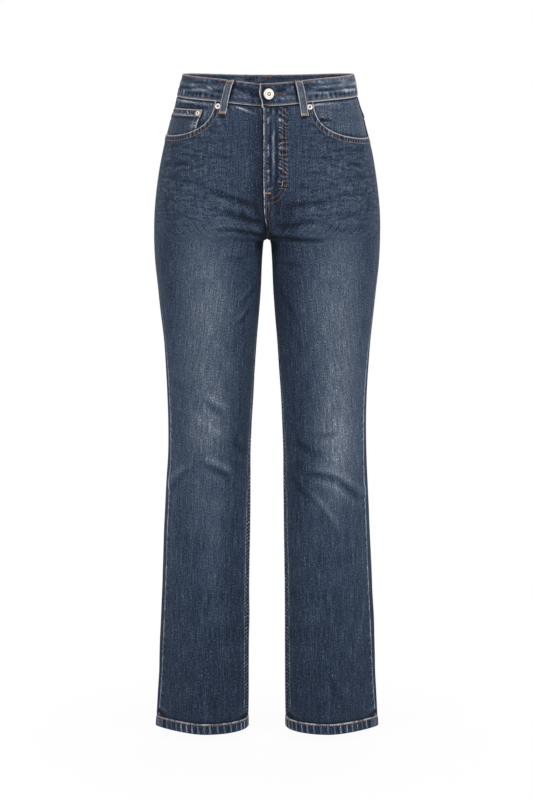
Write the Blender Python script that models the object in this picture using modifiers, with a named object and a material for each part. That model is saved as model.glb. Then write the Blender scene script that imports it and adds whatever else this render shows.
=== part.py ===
"""Straight-leg jeans, filled out as they are when worn, with nobody in them.

Units are metres and +Z is up. The front faces -Y, so the wearer's left is +X. The origin is the
middle of the waistband ring, which the wearer's waist holds up.

All the cloth follows one surface. `outline` gives its half section at a height, and `surface`
gives the point that lies a stated arc length round from the centre front. Every piece is a grid
of such points, moved out or in by its place among the layers, with Solidify for its wall.
"""

import math

import bpy
import numpy as np
from mathutils import Matrix, Vector

MM = 0.001

# Layers and seams
GAP = 0.3 * MM
SEAM_GAP = 0.75 * MM  # at the long seams, whose two edges lean towards each other inside
DENIM = 1.2 * MM
COTTON = 1.0 * MM
BAND_WALL = 2.6 * MM
HEM_WALL = 2.6 * MM
LOOP_WALL = 1.8 * MM
LAYER = 0.6 * MM  # clear space between two layers whose facets differ
FLY_LAYER = 1.0 * MM  # under the fly, where the fronts curve in to the crotch
SMALL_LAYER = 0.45 * MM
POCKET_LAYER = 1.3 * MM  # under a back pocket, whose panel is the most curved

# Heights
CROTCH = -240 * MM
HEM_BOTTOM = -1014.5 * MM
HEM_HEIGHT = 16 * MM
HEM_TOP = HEM_BOTTOM + HEM_HEIGHT
BAND_HEIGHT = 34 * MM
BAND_TOP_FRONT = -7.5 * MM
BAND_TOP_SIDE = 15.5 * MM
BAND_TOP_BACK = 22 * MM
BAND_BOW = 2.4 * MM  # the front of the band stands a little above a plain curve
BAND_BOW_MIDDLE = 0.19  # where that is, by the fraction of the half ring
BAND_BOW_WIDTH = 0.13
YOKE_SIDE = 34 * MM
YOKE_CENTRE = 64 * MM

# The rise, seen from the side, is a quarter ellipse in front and another behind
CROTCH_Y = -4 * MM
RISE_FRONT = 95 * MM
RISE_BACK = 130 * MM
CENTRE_GAP = 0.2 * MM
FLY_SHIFT = 4.2 * MM  # the left front laps this far past the middle
FLY_SHIFT_FROM, FLY_SHIFT_TO = -228 * MM, -190 * MM

# Fly
FLY_TOP = -46 * MM
ZIP_BOTTOM = -166 * MM
SHIELD_BOTTOM = -180 * MM
ZIP_FROM, ZIP_TO = -9 * MM, 17 * MM
ZIP_WALL = 1.4 * MM
SHIELD_FROM, SHIELD_TO = -14 * MM, 38 * MM

# Places round the waist, as fractions of the half ring from the centre front
FRONT_MIDDLE = 0.2
SIDE_MIDDLE = 0.5
OVERLAP_END = -0.022
UNDERLAP_END = -0.10
UNDERLAP_FROM = 0.02
UNDERLAP_RAMP = 0.09  # from here the band's right end goes down under the left one
UNDERLAP_COLUMNS = (0.055, UNDERLAP_FROM, -0.04, UNDERLAP_END)
BAND_LIFT = 0.6 * MM

# Button and rivets
BUTTON_ARC = 3.6 * MM
BUTTON_HEIGHT = -24 * MM
BUTTON_RADIUS = 8.7 * MM
BUTTONHOLE_LENGTH = 26 * MM
BUTTONHOLE_SLIT = 1.4 * MM
BUTTONHOLE_EYE = 3.1 * MM
RIVET_RADIUS = 4.6 * MM
COIN_RIVET_RADIUS = 3.5 * MM
RIVET_DROP = 7.4 * MM  # from the waist seam to the rivet's middle
RIVET_INSET = 5.5 * MM  # from the mouth's end to the rivet's middle

# Front pocket mouths: where each one starts on the waist seam, and how deep it scoops
MOUTH_START = {"left": 69.5 * MM, "right": 80.5 * MM}
MOUTH_DEPTH = {"left": 62 * MM, "right": 58 * MM}
MOUTH_POWER = 2.8
FACING_UNDER = 14 * MM
FACING_BOTTOM = -124 * MM
BAG_START = 48 * MM
BAG_SIDE_INSET = 5 * MM
BAG_BOTTOM = -196 * MM
BAG_CORNER, BAG_CORNER_POWER = 30 * MM, 2.5  # how far its foot rises to the corners
COLUMN_CLEAR = 4 * MM  # least width of a layer's first and last columns
COIN_TOP_DROP = 17.3 * MM  # below the waist seam, at its outer end
COIN_TOP_TILT = 3 * MM  # how much higher its inner end is
COIN_FOOT_GAP = 0.9 * MM  # above the front panel's edge
COIN_START = 100 * MM
COIN_SIDE_INSET = 7 * MM
COIN_RIVET_ACROSS, COIN_RIVET_DOWN = 9.6 * MM, 6.4 * MM  # from the coin pocket's corner

# Back pockets
BACK_POCKET_DROP = 22 * MM  # from the yoke seam to the pocket's top edge
BACK_POCKET_SEAM = 0.6  # where along the yoke seam that is measured
BACK_POCKET_SLOPE = 10 * MM
BACK_POCKET_SIDES = 118 * MM
BACK_POCKET_POINT = 18 * MM
BACK_POCKET_TOP_WIDTH = 142 * MM
BACK_POCKET_FOOT_WIDTH = 118 * MM
BACK_POCKET_FROM_CENTRE = 97 * MM

# Belt loops
LOOP_WIDTH = 11 * MM
LOOP_CLEAR = 3.2 * MM
LOOP_STEP = 4 * MM  # above the waist seam, where a loop climbs on to the band

# Fineness of the facets. Rows are heights in mm, and the crotch has the closest ones
QUARTER_STEPS = 20
LEG_ROWS = (-920, -820, -720, -630, -540, -450, -370, -310, -275, -256, -246)
RISE_ROWS = (-240, -237, -228, -213, -192, -165, -138, -115)
PANEL_BASE = -115 * MM  # above it a panel's rows close up to its top edge
FRONT_TOP_ROWS, BACK_TOP_ROWS = 3, 2
FRONT_INNER_COLUMNS = 6
MOUTH_COLUMNS = 7
BACK_COLUMNS = 12
BAND_COLUMNS = 24
HEM_COLUMNS = 26
TURN_STEPS = 20

# Bezier handles of the half section, as parts of each quarter's width or depth
CENTRE_HANDLE = 0.45  # level, at the middle of the body
INSEAM_HANDLE = 0.55  # front to back, at the inseam
CROWN_HANDLES = 0.55, 0.57  # at the crown, towards the middle and towards the side
SIDE_HANDLE = 0.56
# Towards the hem the section draws in to a folded edge at its side, by shorter handles there
EDGE_FROM = -700 * MM
EDGE_TO = -960 * MM
CROWN_HANDLE_CUT = 0.22
SIDE_HANDLE_CUT = 0.40
EDGE_SEAM_GAP = 1.0 * MM
TURN_POWER = 1.5  # how soon above the crotch the cloth runs straight across the middle

# Half sections, in mm. side: half width. front, back: depth of the crowns. front_x, back_x: the
# crowns' distance from the middle. side_shift: how far the side seam lies in front of the side.
BODY_COLUMNS = "height side front back front_x back_x side_shift"
BODY = [
    (40, 122, 87, 90, 10, 14, 5),
    (10, 133, 92, 95, 12, 18, 5),
    (-25, 142.5, 97, 102, 20, 30, 5),
    (-68, 154, 102, 112, 38, 50, 4),
    (-110, 163.5, 105, 121, 55, 66, 4),
    (-150, 170.5, 106, 128, 68, 76, 4),
    (-190, 175, 105, 129, 79, 84, 4),
    (-230, 176, 102, 122, 87, 88, 4),
    (-270, 175, 98, 111, 90, 90, 7),
    (-320, 170, 93, 101, 90, 90, 12),
    (-400, 161.5, 85, 88, 88.5, 88.5, 17),
    (-480, 156.5, 76, 75, 89, 89, 19),
    (-560, 156, 69, 65, 90.5, 90.5, 19),
    (-640, 159.5, 63, 60, 92.5, 92.5, 17),
    (-740, 164.5, 59, 58, 96, 96, 14),
    (-860, 170, 57, 58, 97, 97, 4),
    (-1020, 177.5, 57, 58, 97, 97, -4),
]

# The inside of the leg, in mm. inner: distance from the middle. seam_shift: how far the inseam
# lies in front of it.
INSEAM_COLUMNS = "height inner inner_y seam_shift"
INSEAM = [
    (-240, 0.3, -4, 0),
    (-244, 3.0, -4, 0),
    (-251, 5.4, -4, 0.5),
    (-262, 6.6, -4, 1.5),
    (-320, 9.8, -3, 4),
    (-400, 16, -2, 8),
    (-480, 22, 0, 12),
    (-560, 24.5, 1, 15),
    (-700, 26.5, 1, 16),
    (-860, 28, 1, 17),
    (-1020, 30, 1, 18),
]

# Belt loops: name, the side of the wearer, and in mm the arc from the centre front at the top
# edge and at the foot, and how far the foot lies below the waist seam
LOOPS = [
    ("belt_loop_front_left", 1, 47, 57, 19),
    ("belt_loop_front_right", -1, 55, 68, 17),
    ("belt_loop_side_left", 1, 238, 246, 16),
    ("belt_loop_side_right", -1, 238, 246, 16),
    ("belt_loop_back", 1, None, None, 16),
]
# Along a loop: the fraction of its length, and the part of its clear space that it stands off
LOOP_PROFILE = [(0, 0), (0.09, 0), (0.20, 1), (0.45, 1), (0.68, 1), (0.83, 0), (1, 0)]

SIDES = {"left": 1, "right": -1}


# ---- the surface ----------------------------------------------------------------------------


def smooth_curve(knots, values, where):
    """A cubic through the values, with the slope at each knot taken from its neighbours."""
    slopes = np.gradient(values, knots)
    where = np.clip(where, knots[0], knots[-1])
    i = np.clip(np.searchsorted(knots, where) - 1, 0, len(knots) - 2)
    step = knots[i + 1] - knots[i]
    t = (where - knots[i]) / step
    return (
        (1 + 2 * t) * (1 - t) ** 2 * values[i]
        + t * (1 - t) ** 2 * step * slopes[i]
        + t * t * (3 - 2 * t) * values[i + 1]
        + t * t * (t - 1) * step * slopes[i + 1]
    )


class Table:
    """Rows of millimetre values over height, read as smooth curves in metres."""

    def __init__(self, columns, rows):
        self.columns = columns.split()
        rows = np.array(rows, float) * MM
        self.rows = rows[np.argsort(rows[:, 0])]

    def at(self, column, height):
        values = self.rows[:, self.columns.index(column)]
        return smooth_curve(self.rows[:, 0], values, height)


body = Table(BODY_COLUMNS, BODY)
inseam = Table(INSEAM_COLUMNS, INSEAM)


def smoothstep(low, high, value):
    t = np.clip((value - low) / (high - low), 0, 1)
    return t * t * (3 - 2 * t)


def quarter_ellipse(fraction):
    """0 at 0, rising steeply and levelling out to 1 at 1."""
    return np.sqrt(1 - (1 - np.clip(fraction, 0, 1)) ** 2)


def inner_end(height, depth, rise):
    """Where the half section ends at the middle of the body or at the inseam, and its turn.

    The turn is 0 where the cloth runs straight across the middle, and a quarter turn in the leg.
    """
    up = (height - CROTCH) / rise
    leg = height < CROTCH
    x = np.where(leg, inseam.at("inner", height), CENTRE_GAP)
    y_leg = inseam.at("inner_y", height)
    y_body = CROTCH_Y + (depth - CROTCH_Y) * quarter_ellipse(up)
    turn = np.where(leg, 1, (1 - np.clip(up, 0, 1)) ** TURN_POWER)
    return x, np.where(leg, y_leg, y_body), turn


def quarter_curve(start, start_handle, end_handle, end):
    """Points on the Bezier curves between the given rows of points."""
    t = np.linspace(0, 1, QUARTER_STEPS + 1)[None, :, None]
    controls = [np.stack(p, axis=-1)[:, None, :] for p in (start, start_handle, end_handle, end)]
    return (
        (1 - t) ** 3 * controls[0]
        + 3 * t * (1 - t) ** 2 * controls[1]
        + 3 * t * t * (1 - t) * controls[2]
        + t**3 * controls[3]
    )


def outline(height):
    """The half section at each height: from the front inner end, round the side, to the back."""
    side = body.at("side", height)
    edge = smoothstep(EDGE_FROM, EDGE_TO, height)
    zero = np.zeros_like(height)
    half = []
    for sign, depth_column, x_column, rise in (
        (-1, "front", "front_x", RISE_FRONT),
        (1, "back", "back_x", RISE_BACK),
    ):
        depth = sign * body.at(depth_column, height)
        crown_x = body.at(x_column, height)
        inner_x, inner_y, turn = inner_end(height, depth, rise)
        across = (1 - turn) * CENTRE_HANDLE * (crown_x - inner_x)
        reach = across + turn * INSEAM_HANDLE * np.abs(depth - inner_y)
        angle = turn * math.pi / 2
        inner = quarter_curve(
            (inner_x, inner_y),
            (inner_x + reach * np.cos(angle), inner_y + sign * reach * np.sin(angle)),
            (crown_x - CROWN_HANDLES[0] * (crown_x - inner_x), depth),
            (crown_x, depth),
        )
        outer = quarter_curve(
            (crown_x, depth),
            (crown_x + (CROWN_HANDLES[1] - CROWN_HANDLE_CUT * edge) * (side - crown_x), depth),
            (side, (SIDE_HANDLE - SIDE_HANDLE_CUT * edge) * depth),
            (side, zero),
        )
        half.append(np.concatenate([inner, outer[:, 1:]], axis=1))
    return np.concatenate([half[0], half[1][:, -2::-1]], axis=1)


def arc_lengths(points):
    steps = np.linalg.norm(np.diff(points, axis=1), axis=2)
    return np.concatenate([np.zeros((len(points), 1)), np.cumsum(steps, axis=1)], axis=1)


def half_length(height):
    """The arc length of the half section: to the centre back, or once round the leg."""
    height = np.atleast_1d(np.asarray(height, float))
    return arc_lengths(outline(height))[:, -1]


def side_arc(height):
    """The arc length from the front inner end to the side seam."""
    height = np.atleast_1d(np.asarray(height, float))
    return arc_lengths(outline(height))[:, 2 * QUARTER_STEPS] - body.at("side_shift", height)


def plan_point(height, arc):
    """x and y on the half section. In the body, an arc that passes the middle goes on across it."""
    points = outline(height)
    lengths = arc_lengths(points)
    total = lengths[:, -1]
    leg = height < CROTCH
    across = ~leg & ((arc < 0) | (arc > total))
    arc = np.where(leg, arc % total, np.where(arc > total, 2 * total - arc, np.abs(arc)))
    i = np.clip((lengths <= arc[:, None]).sum(axis=1) - 1, 0, lengths.shape[1] - 2)
    row = np.arange(len(arc))
    t = (arc - lengths[row, i]) / np.maximum(lengths[row, i + 1] - lengths[row, i], 1e-9)
    xy = points[row, i] + (points[row, i + 1] - points[row, i]) * t[:, None]
    return np.where(across, -xy[:, 0], xy[:, 0]), xy[:, 1]


def surface(height, arc, lift=0.0, side=1):
    """Points of the cloth's surface, moved out along its normal by the lift."""
    height, arc, lift = np.broadcast_arrays(*(np.asarray(v, float) for v in (height, arc, lift)))
    shape = height.shape
    height, arc, lift = height.ravel(), arc.ravel(), lift.ravel()
    x, y = plan_point(height, arc)
    points = np.stack([x, y, height], axis=1)
    if np.any(lift != 0):
        points = points + lift[:, None] * normals(height, arc)
    points[:, 0] *= side
    return points.reshape(*shape, 3)


def normals(height, arc):
    step = 1 * MM
    ahead, behind = plan_point(height, arc + step), plan_point(height, arc - step)
    above, below = plan_point(height + step, arc), plan_point(height - step, arc)
    rise = np.full_like(height, 2 * step)
    along = np.stack([ahead[0] - behind[0], ahead[1] - behind[1], 0 * rise], axis=1)
    upward = np.stack([above[0] - below[0], above[1] - below[1], rise], axis=1)
    normal = np.cross(along, upward)
    return normal / np.linalg.norm(normal, axis=1, keepdims=True)


# ---- seams ----------------------------------------------------------------------------------


def band_top(fraction):
    """Height of the waistband's top edge, by the fraction of the half ring from the front."""
    swing = (BAND_TOP_FRONT - BAND_TOP_BACK) / 2
    middle = (BAND_TOP_FRONT + BAND_TOP_BACK) / 2
    mean = (middle + BAND_TOP_SIDE) / 2
    angle = math.pi * np.asarray(fraction)
    bow = BAND_BOW * np.exp(-(((np.asarray(fraction) - BAND_BOW_MIDDLE) / BAND_BOW_WIDTH) ** 2))
    return mean + swing * np.cos(angle) + (middle - mean) * np.cos(2 * angle) + bow


def waist_seam(fraction):
    return band_top(fraction) - BAND_HEIGHT


def ring_fraction(height, arc):
    return arc / half_length(np.full(np.shape(arc), height).ravel()).reshape(np.shape(arc))


def front_start(height, side):
    """Arc at which a front panel starts: the fly's edge, the centre seam or the inseam."""
    shift = FLY_SHIFT * smoothstep(FLY_SHIFT_FROM, FLY_SHIFT_TO, height)
    in_body = CENTRE_GAP - side * shift
    in_leg = inseam.at("seam_shift", height) + SEAM_GAP / 2
    return np.where(height < CROTCH, in_leg, in_body)


def side_gap(height):
    """Between the panels at the side seam, which lies close to the folded edge lower down."""
    return SEAM_GAP + EDGE_SEAM_GAP * smoothstep(EDGE_FROM, EDGE_TO, height)


def front_end(height):
    return side_arc(height) - side_gap(height) / 2


def back_start(height):
    return side_arc(height) + side_gap(height) / 2


def back_end(height):
    leg = np.asarray(height) < CROTCH
    past = np.where(leg, inseam.at("seam_shift", height) - SEAM_GAP / 2, -CENTRE_GAP)
    return half_length(height) + past


def mouth_drop(arc, start, end, depth):
    """How far the pocket mouth lies below the waist seam, on a rounded scoop to the side seam."""
    along = np.clip((arc - start) / (end - start), 0, 1)
    return depth * (1 - (1 - along) ** MOUTH_POWER) ** (1 / MOUTH_POWER)


def front_columns(side_name):
    """Fractions across a front panel: even to the pocket's corner, then close along the mouth."""
    side = SIDES[side_name]
    level = np.array([waist_seam(FRONT_MIDDLE)])
    start, end = front_start(level, side)[0], front_end(level)[0]
    corner = (MOUTH_START[side_name] - start) / (end - start)
    inner = np.linspace(0, corner, FRONT_INNER_COLUMNS + 1)
    turn = np.linspace(0, math.pi / 2, MOUTH_COLUMNS + 1)
    outer = corner + (1 - corner) * (1 - np.cos(turn))
    return np.concatenate([inner, outer[1:]])


def front_top(side_name, columns):
    """Top edge of a front panel: the waist seam, then the pocket mouth."""
    side = SIDES[side_name]
    level = np.array([waist_seam(FRONT_MIDDLE)])
    start, end = front_start(level, side)[0], front_end(level)[0]
    arc = start + columns * (end - start)
    seam = waist_seam(ring_fraction(level[0], arc))
    drop = mouth_drop(arc, MOUTH_START[side_name], end, MOUTH_DEPTH[side_name])
    return seam - drop - GAP


# ---- Blender objects ------------------------------------------------------------------------


def clear_scene():
    for old in list(bpy.data.objects):
        bpy.data.objects.remove(old, do_unlink=True)
    for old in list(bpy.data.collections):
        bpy.data.collections.remove(old)


def make_collection(name):
    collection = bpy.data.collections.new(name)
    bpy.context.scene.collection.children.link(collection)
    return collection


def make_material(name, colour, roughness, metallic=0.0):
    material = bpy.data.materials.new(name)
    material.use_nodes = True
    shader = material.node_tree.nodes["Principled BSDF"]
    shader.inputs["Base Color"].default_value = (*colour, 1)
    shader.inputs["Roughness"].default_value = roughness
    shader.inputs["Metallic"].default_value = metallic
    material.diffuse_color = (*colour, 1)
    return material


def make_object(name, mesh, collection, material):
    mesh.materials.append(material)
    obj = bpy.data.objects.new(name, mesh)
    collection.objects.link(obj)
    return obj


def grid_faces(rows, columns, ring, flip):
    faces = []
    for r in range(rows - 1):
        for c in range(columns if ring else columns - 1):
            right = (c + 1) % columns
            face = (
                r * columns + c,
                r * columns + right,
                (r + 1) * columns + right,
                (r + 1) * columns + c,
            )
            faces.append(face[:1] + face[:0:-1] if flip else face)
    return faces


def cloth(name, points, wall, collection, material, flip=False, ring=False, outward=False):
    """A panel through a grid of points, rows from the bottom up, with a wall inward of them."""
    rows, columns = points.shape[:2]
    mesh = bpy.data.meshes.new(name)
    faces = grid_faces(rows, columns, ring, flip)
    mesh.from_pydata(points.reshape(-1, 3).tolist(), [], faces)
    mesh.update()
    obj = make_object(name, mesh, collection, material)
    solidify = obj.modifiers.new("Wall", "SOLIDIFY")
    solidify.thickness = wall
    solidify.offset = 1 if outward else -1
    solidify.use_even_offset = True
    mesh.shade_smooth()
    mesh.set_sharp_from_angle(angle=math.radians(40))
    return obj


# ---- pieces ---------------------------------------------------------------------------------

def panel_rows():
    return np.array([HEM_TOP + GAP] + [h * MM for h in LEG_ROWS + RISE_ROWS])


def panel_grid(columns, start, end, top, top_rows):
    """Level rows up to PANEL_BASE, and above it rows that close up to the top edge."""
    level = panel_rows()
    heights = np.repeat(level[:, None], len(columns), axis=1)
    steps = np.linspace(0, 1, top_rows + 1)[1:, None]
    heights = np.concatenate([heights, PANEL_BASE + steps * (top - PANEL_BASE)[None, :]])
    first = start(heights.ravel()).reshape(heights.shape)
    last = end(heights.ravel()).reshape(heights.shape)
    return surface(heights, first + columns * (last - first))


def mirrored(points, side):
    return points * np.array([side, 1, 1])


def front_panel(side_name, collection, material):
    side = SIDES[side_name]
    columns = front_columns(side_name)
    points = panel_grid(
        columns,
        lambda height: front_start(height, side),
        front_end,
        front_top(side_name, columns),
        FRONT_TOP_ROWS,
    )
    return cloth(
        f"front_{side_name}", mirrored(points, side), DENIM, collection, material, flip=side < 0
    )


def yoke_seam(along):
    """Height of the yoke seam, by the fraction of the way from the side to the centre back."""
    level = np.array([waist_seam(SIDE_MIDDLE)])
    first, last = back_start(level)[0], back_end(level)[0]
    arc = first + along * (last - first)
    seam = waist_seam(ring_fraction(level[0], arc))
    return seam, seam - YOKE_SIDE - (YOKE_CENTRE - YOKE_SIDE) * along


def back_panel(side_name, collection, material):
    side = SIDES[side_name]
    columns = np.linspace(0, 1, BACK_COLUMNS + 1)
    top = yoke_seam(columns)[1] - GAP / 2
    points = panel_grid(columns, back_start, back_end, top, BACK_TOP_ROWS)
    return cloth(
        f"back_{side_name}", mirrored(points, side), DENIM, collection, material, flip=side < 0
    )


def yoke(side_name, collection, material):
    side = SIDES[side_name]
    columns = np.linspace(0, 1, BACK_COLUMNS + 1)
    top, bottom = yoke_seam(columns)
    steps = np.linspace(0, 1, 4)[:, None]
    low, high = bottom + GAP / 2, top - GAP / 2
    heights = low + steps * (high - low)
    first = back_start(heights.ravel()).reshape(heights.shape)
    last = back_end(heights.ravel()).reshape(heights.shape)
    points = surface(heights, first + columns * (last - first))
    return cloth(
        f"yoke_{side_name}", mirrored(points, side), DENIM, collection, material, flip=side < 0
    )


def band_points(fractions, side, lifts):
    """Rows from the waist seam to the top edge, round one half of the band."""
    steps = np.linspace(0, 1, 4)[:, None]
    low = waist_seam(fractions) + GAP / 2
    heights = low + steps * (band_top(fractions) - low)
    arcs = half_length(heights.ravel()).reshape(heights.shape) * fractions
    return surface(heights, arcs, np.broadcast_to(lifts, heights.shape), side)


def waistband(collection, material, cutters, cutter_material):
    """One strip, from the lapped end on the left round to the end that lies under it."""
    left = np.concatenate([[OVERLAP_END], np.linspace(0.01, 1, BAND_COLUMNS)])
    right = np.linspace(1, UNDERLAP_RAMP, BAND_COLUMNS - 2)[1:]
    right = np.concatenate([right, UNDERLAP_COLUMNS])
    under = smoothstep(UNDERLAP_RAMP, UNDERLAP_FROM, right)
    right_lift = BAND_LIFT - under * (BAND_WALL + LAYER)
    points = np.concatenate(
        [band_points(left, 1, BAND_LIFT), band_points(right, -1, right_lift)], axis=1
    )
    band = cloth("waistband", points, BAND_WALL, collection, material)
    cut_buttonhole(band, cutters, cutter_material)
    return band


def cut_buttonhole(band, cutters, material):
    """An eye for the shank, and a slit that runs from it away from the lapped end."""
    arcs = np.linspace(BUTTON_ARC, BUTTON_ARC + BUTTONHOLE_LENGTH, 6)
    heights = BUTTON_HEIGHT + np.array([-0.5, 0.5])[:, None] * BUTTONHOLE_SLIT
    points = surface(heights, arcs[None, :], BAND_LIFT + 1 * MM)
    wall = BAND_WALL + 1.25 * MM
    slit = cloth("buttonhole_slit", points, wall, cutters, material)
    eye = turned(
        "buttonhole_eye",
        [(0, 1 * MM), (BUTTONHOLE_EYE, 1 * MM), (BUTTONHOLE_EYE, 1 * MM - wall), (0, 1 * MM - wall)],
        cutters,
        material,
        BUTTON_HEIGHT,
        BUTTON_ARC,
        BAND_LIFT,
        1,
    )
    for cutter in (slit, eye):
        cutter.hide_render = True
        cutter.display_type = "WIRE"
        cut = band.modifiers.new(cutter.name, "BOOLEAN")
        cut.object = cutter
        cut.operation = "DIFFERENCE"


def pocket_columns(side_name, first_arc, last_inset=0.0):
    """Arcs at the waist seam for what lies in a front pocket: its first edge, then the panel's."""
    side = SIDES[side_name]
    level = np.array([waist_seam(FRONT_MIDDLE)])
    start, end = front_start(level, side)[0], front_end(level)[0]
    arcs = start + front_columns(side_name) * (end - start)
    clear = (arcs > first_arc + COLUMN_CLEAR) & (arcs < end - last_inset - COLUMN_CLEAR)
    inside = arcs[clear]
    return np.concatenate([[first_arc], inside, [end - last_inset]]), end


def pocket_layer(side_name, arcs, end, low, high, rows, lift):
    """A grid between two edges, whose columns spread with the body as the front panel's do."""
    heights = low + np.linspace(0, 1, rows)[:, None] * (high - low)
    spread = front_end(heights.ravel()).reshape(heights.shape) / end
    return surface(heights, arcs * spread, lift, SIDES[side_name])


def pocket_seam(side_name, arcs):
    return waist_seam(ring_fraction(waist_seam(FRONT_MIDDLE), arcs)) - GAP / 2


def pocket_facing(side_name, collection, material):
    """The denim that shows inside the mouth, and runs on a little way under the front panel."""
    arcs, end = pocket_columns(side_name, MOUTH_START[side_name] - FACING_UNDER)
    top = pocket_seam(side_name, arcs)
    bottom = np.full_like(top, FACING_BOTTOM)
    lift = -(DENIM + LAYER)
    points = pocket_layer(side_name, arcs, end, bottom, top, 7, lift)
    name = f"pocket_facing_{side_name}"
    return cloth(name, points, DENIM, collection, material, flip=SIDES[side_name] < 0)


def coin_top(arc):
    """The height of the coin pocket's upper edge, which tilts up towards the fly."""
    end = side_arc(np.array([waist_seam(FRONT_MIDDLE)]))[0]
    tilt = COIN_TOP_TILT * (end - arc) / (end - COIN_START)
    return pocket_seam("right", arc) - COIN_TOP_DROP + tilt


def coin_pocket(collection, material):
    """Sewn on the right facing, down to the mouth's edge."""
    arcs, end = pocket_columns("right", COIN_START, COIN_SIDE_INSET)
    columns = front_columns("right")
    level = np.array([waist_seam(FRONT_MIDDLE)])
    start = front_start(level, -1)[0]
    panel_arcs = start + columns * (end - start)
    mouth = np.interp(arcs, panel_arcs, front_top("right", columns))
    low, high = mouth + COIN_FOOT_GAP, coin_top(arcs)
    lift = -LAYER + SMALL_LAYER
    points = pocket_layer("right", arcs, end, low, high, 4, lift)
    return cloth("coin_pocket", points, DENIM, collection, material, flip=True)


def pocket_bag(side_name, collection, material):
    """The thin bag, flat against the back of the facing and the front panel."""
    arcs, end = pocket_columns(side_name, BAG_START, BAG_SIDE_INSET)
    top = pocket_seam(side_name, arcs) - GAP
    across = (arcs - arcs[0]) / (arcs[-1] - arcs[0])
    bottom = BAG_BOTTOM + BAG_CORNER * np.abs(2 * across - 1) ** BAG_CORNER_POWER
    lift = -2 * (DENIM + LAYER) - GAP
    points = pocket_layer(side_name, arcs, end, bottom, top, 8, lift)
    name = f"pocket_bag_{side_name}"
    return cloth(name, points, COTTON, collection, material, flip=SIDES[side_name] < 0)


def back_pocket(side_name, collection, material):
    """A plain five-sided patch pocket, sewn on the back panel."""
    side = SIDES[side_name]
    across = np.linspace(-0.5, 0.5, 9)
    down = np.linspace(1, 0, 8)[:, None]
    seam = yoke_seam(BACK_POCKET_SEAM)[1]
    top = seam - BACK_POCKET_DROP - across * BACK_POCKET_SLOPE
    foot = top - BACK_POCKET_SIDES - BACK_POCKET_POINT * (1 - 2 * np.abs(across))
    heights = top + down * (foot - top)
    width = BACK_POCKET_TOP_WIDTH + down * (BACK_POCKET_FOOT_WIDTH - BACK_POCKET_TOP_WIDTH)
    middle = half_length(heights.ravel()).reshape(heights.shape) - BACK_POCKET_FROM_CENTRE
    points = surface(heights, middle + across * width, DENIM + POCKET_LAYER, side)
    name = f"back_pocket_{side_name}"
    return cloth(name, points, DENIM, collection, material, flip=side < 0)


def fly_strip(name, wall, lift, from_arc, to_arc, bottom, collection, material):
    """A strip behind the fly, from below the band to the given height."""
    arcs = np.linspace(from_arc, to_arc, 5)
    heights = np.linspace(bottom, FLY_TOP, 7)[:, None]
    points = surface(heights, arcs[None, :], lift)
    return cloth(name, points, wall, collection, material)


def hem(side_name, collection, material):
    """The leg's end, turned up twice: a ring that stands a little proud of the leg."""
    side = SIDES[side_name]
    heights = np.array([HEM_BOTTOM, HEM_BOTTOM + HEM_HEIGHT / 2, HEM_TOP])[:, None]
    turn = np.arange(HEM_COLUMNS) / HEM_COLUMNS
    arcs = half_length(heights.ravel())[:, None] * turn
    points = surface(heights, arcs, (HEM_WALL - DENIM) / 2, side)
    name = f"hem_{side_name}"
    return cloth(name, points, HEM_WALL, collection, material, flip=side < 0, ring=True)


def belt_loop(name, side, top_arc, foot_arc, foot_drop, collection, material):
    """A strap sewn at the band's top edge and below the waist seam, standing off in between."""
    along, stand = np.array(LOOP_PROFILE).T
    if top_arc is None:
        top_arc = foot_arc = half_length(BAND_TOP_BACK)[0]
    else:
        top_arc, foot_arc = top_arc * MM, foot_arc * MM
    fraction = top_arc / half_length(0.0)[0]
    top = band_top(fraction) - GAP
    foot = waist_seam(fraction) - foot_drop * MM
    heights = (foot + (1 - along) * (top - foot))[::-1, None]
    if name == "belt_loop_back":
        middle = half_length(heights.ravel())[:, None]
    else:
        middle = (foot_arc + (1 - along) * (top_arc - foot_arc))[::-1, None]
    on_band = smoothstep(waist_seam(fraction) - LOOP_STEP, waist_seam(fraction), heights)
    lift = SMALL_LAYER + on_band * BAND_LIFT + stand[::-1, None] * LOOP_CLEAR
    across = np.linspace(-0.5, 0.5, 3) * LOOP_WIDTH
    points = surface(heights, middle + across, lift, side)
    return cloth(name, points, LOOP_WALL, collection, material, flip=side < 0, outward=True)


def frame_at(height, arc, lift, side):
    """A matrix whose +Z leaves the cloth at the given place, with +X level."""
    height, arc = np.array([height]), np.array([arc])
    normal = Vector(normals(height, arc)[0])
    normal.x *= side
    level = Vector((0, 0, 1)).cross(normal).normalized()
    place = Vector(surface(height, arc, lift, side)[0])
    axes = Matrix((level, normal.cross(level), normal)).transposed()
    return Matrix.Translation(place) @ axes.to_4x4()


def turned(name, profile, collection, material, height, arc, lift, side):
    """A round piece: its profile of radius and height, from the top down, turned on its axis."""
    mesh = bpy.data.meshes.new(name)
    vertices = [(radius, 0, rise) for radius, rise in profile]
    mesh.from_pydata(vertices, [(i, i + 1) for i in range(len(profile) - 1)], [])
    obj = make_object(name, mesh, collection, material)
    screw = obj.modifiers.new("Turn", "SCREW")
    screw.steps = screw.render_steps = TURN_STEPS
    screw.use_merge_vertices = True
    screw.merge_threshold = 0.00001
    screw.use_smooth_shade = True
    obj.matrix_world = frame_at(height, arc, lift, side)
    return obj


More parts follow.
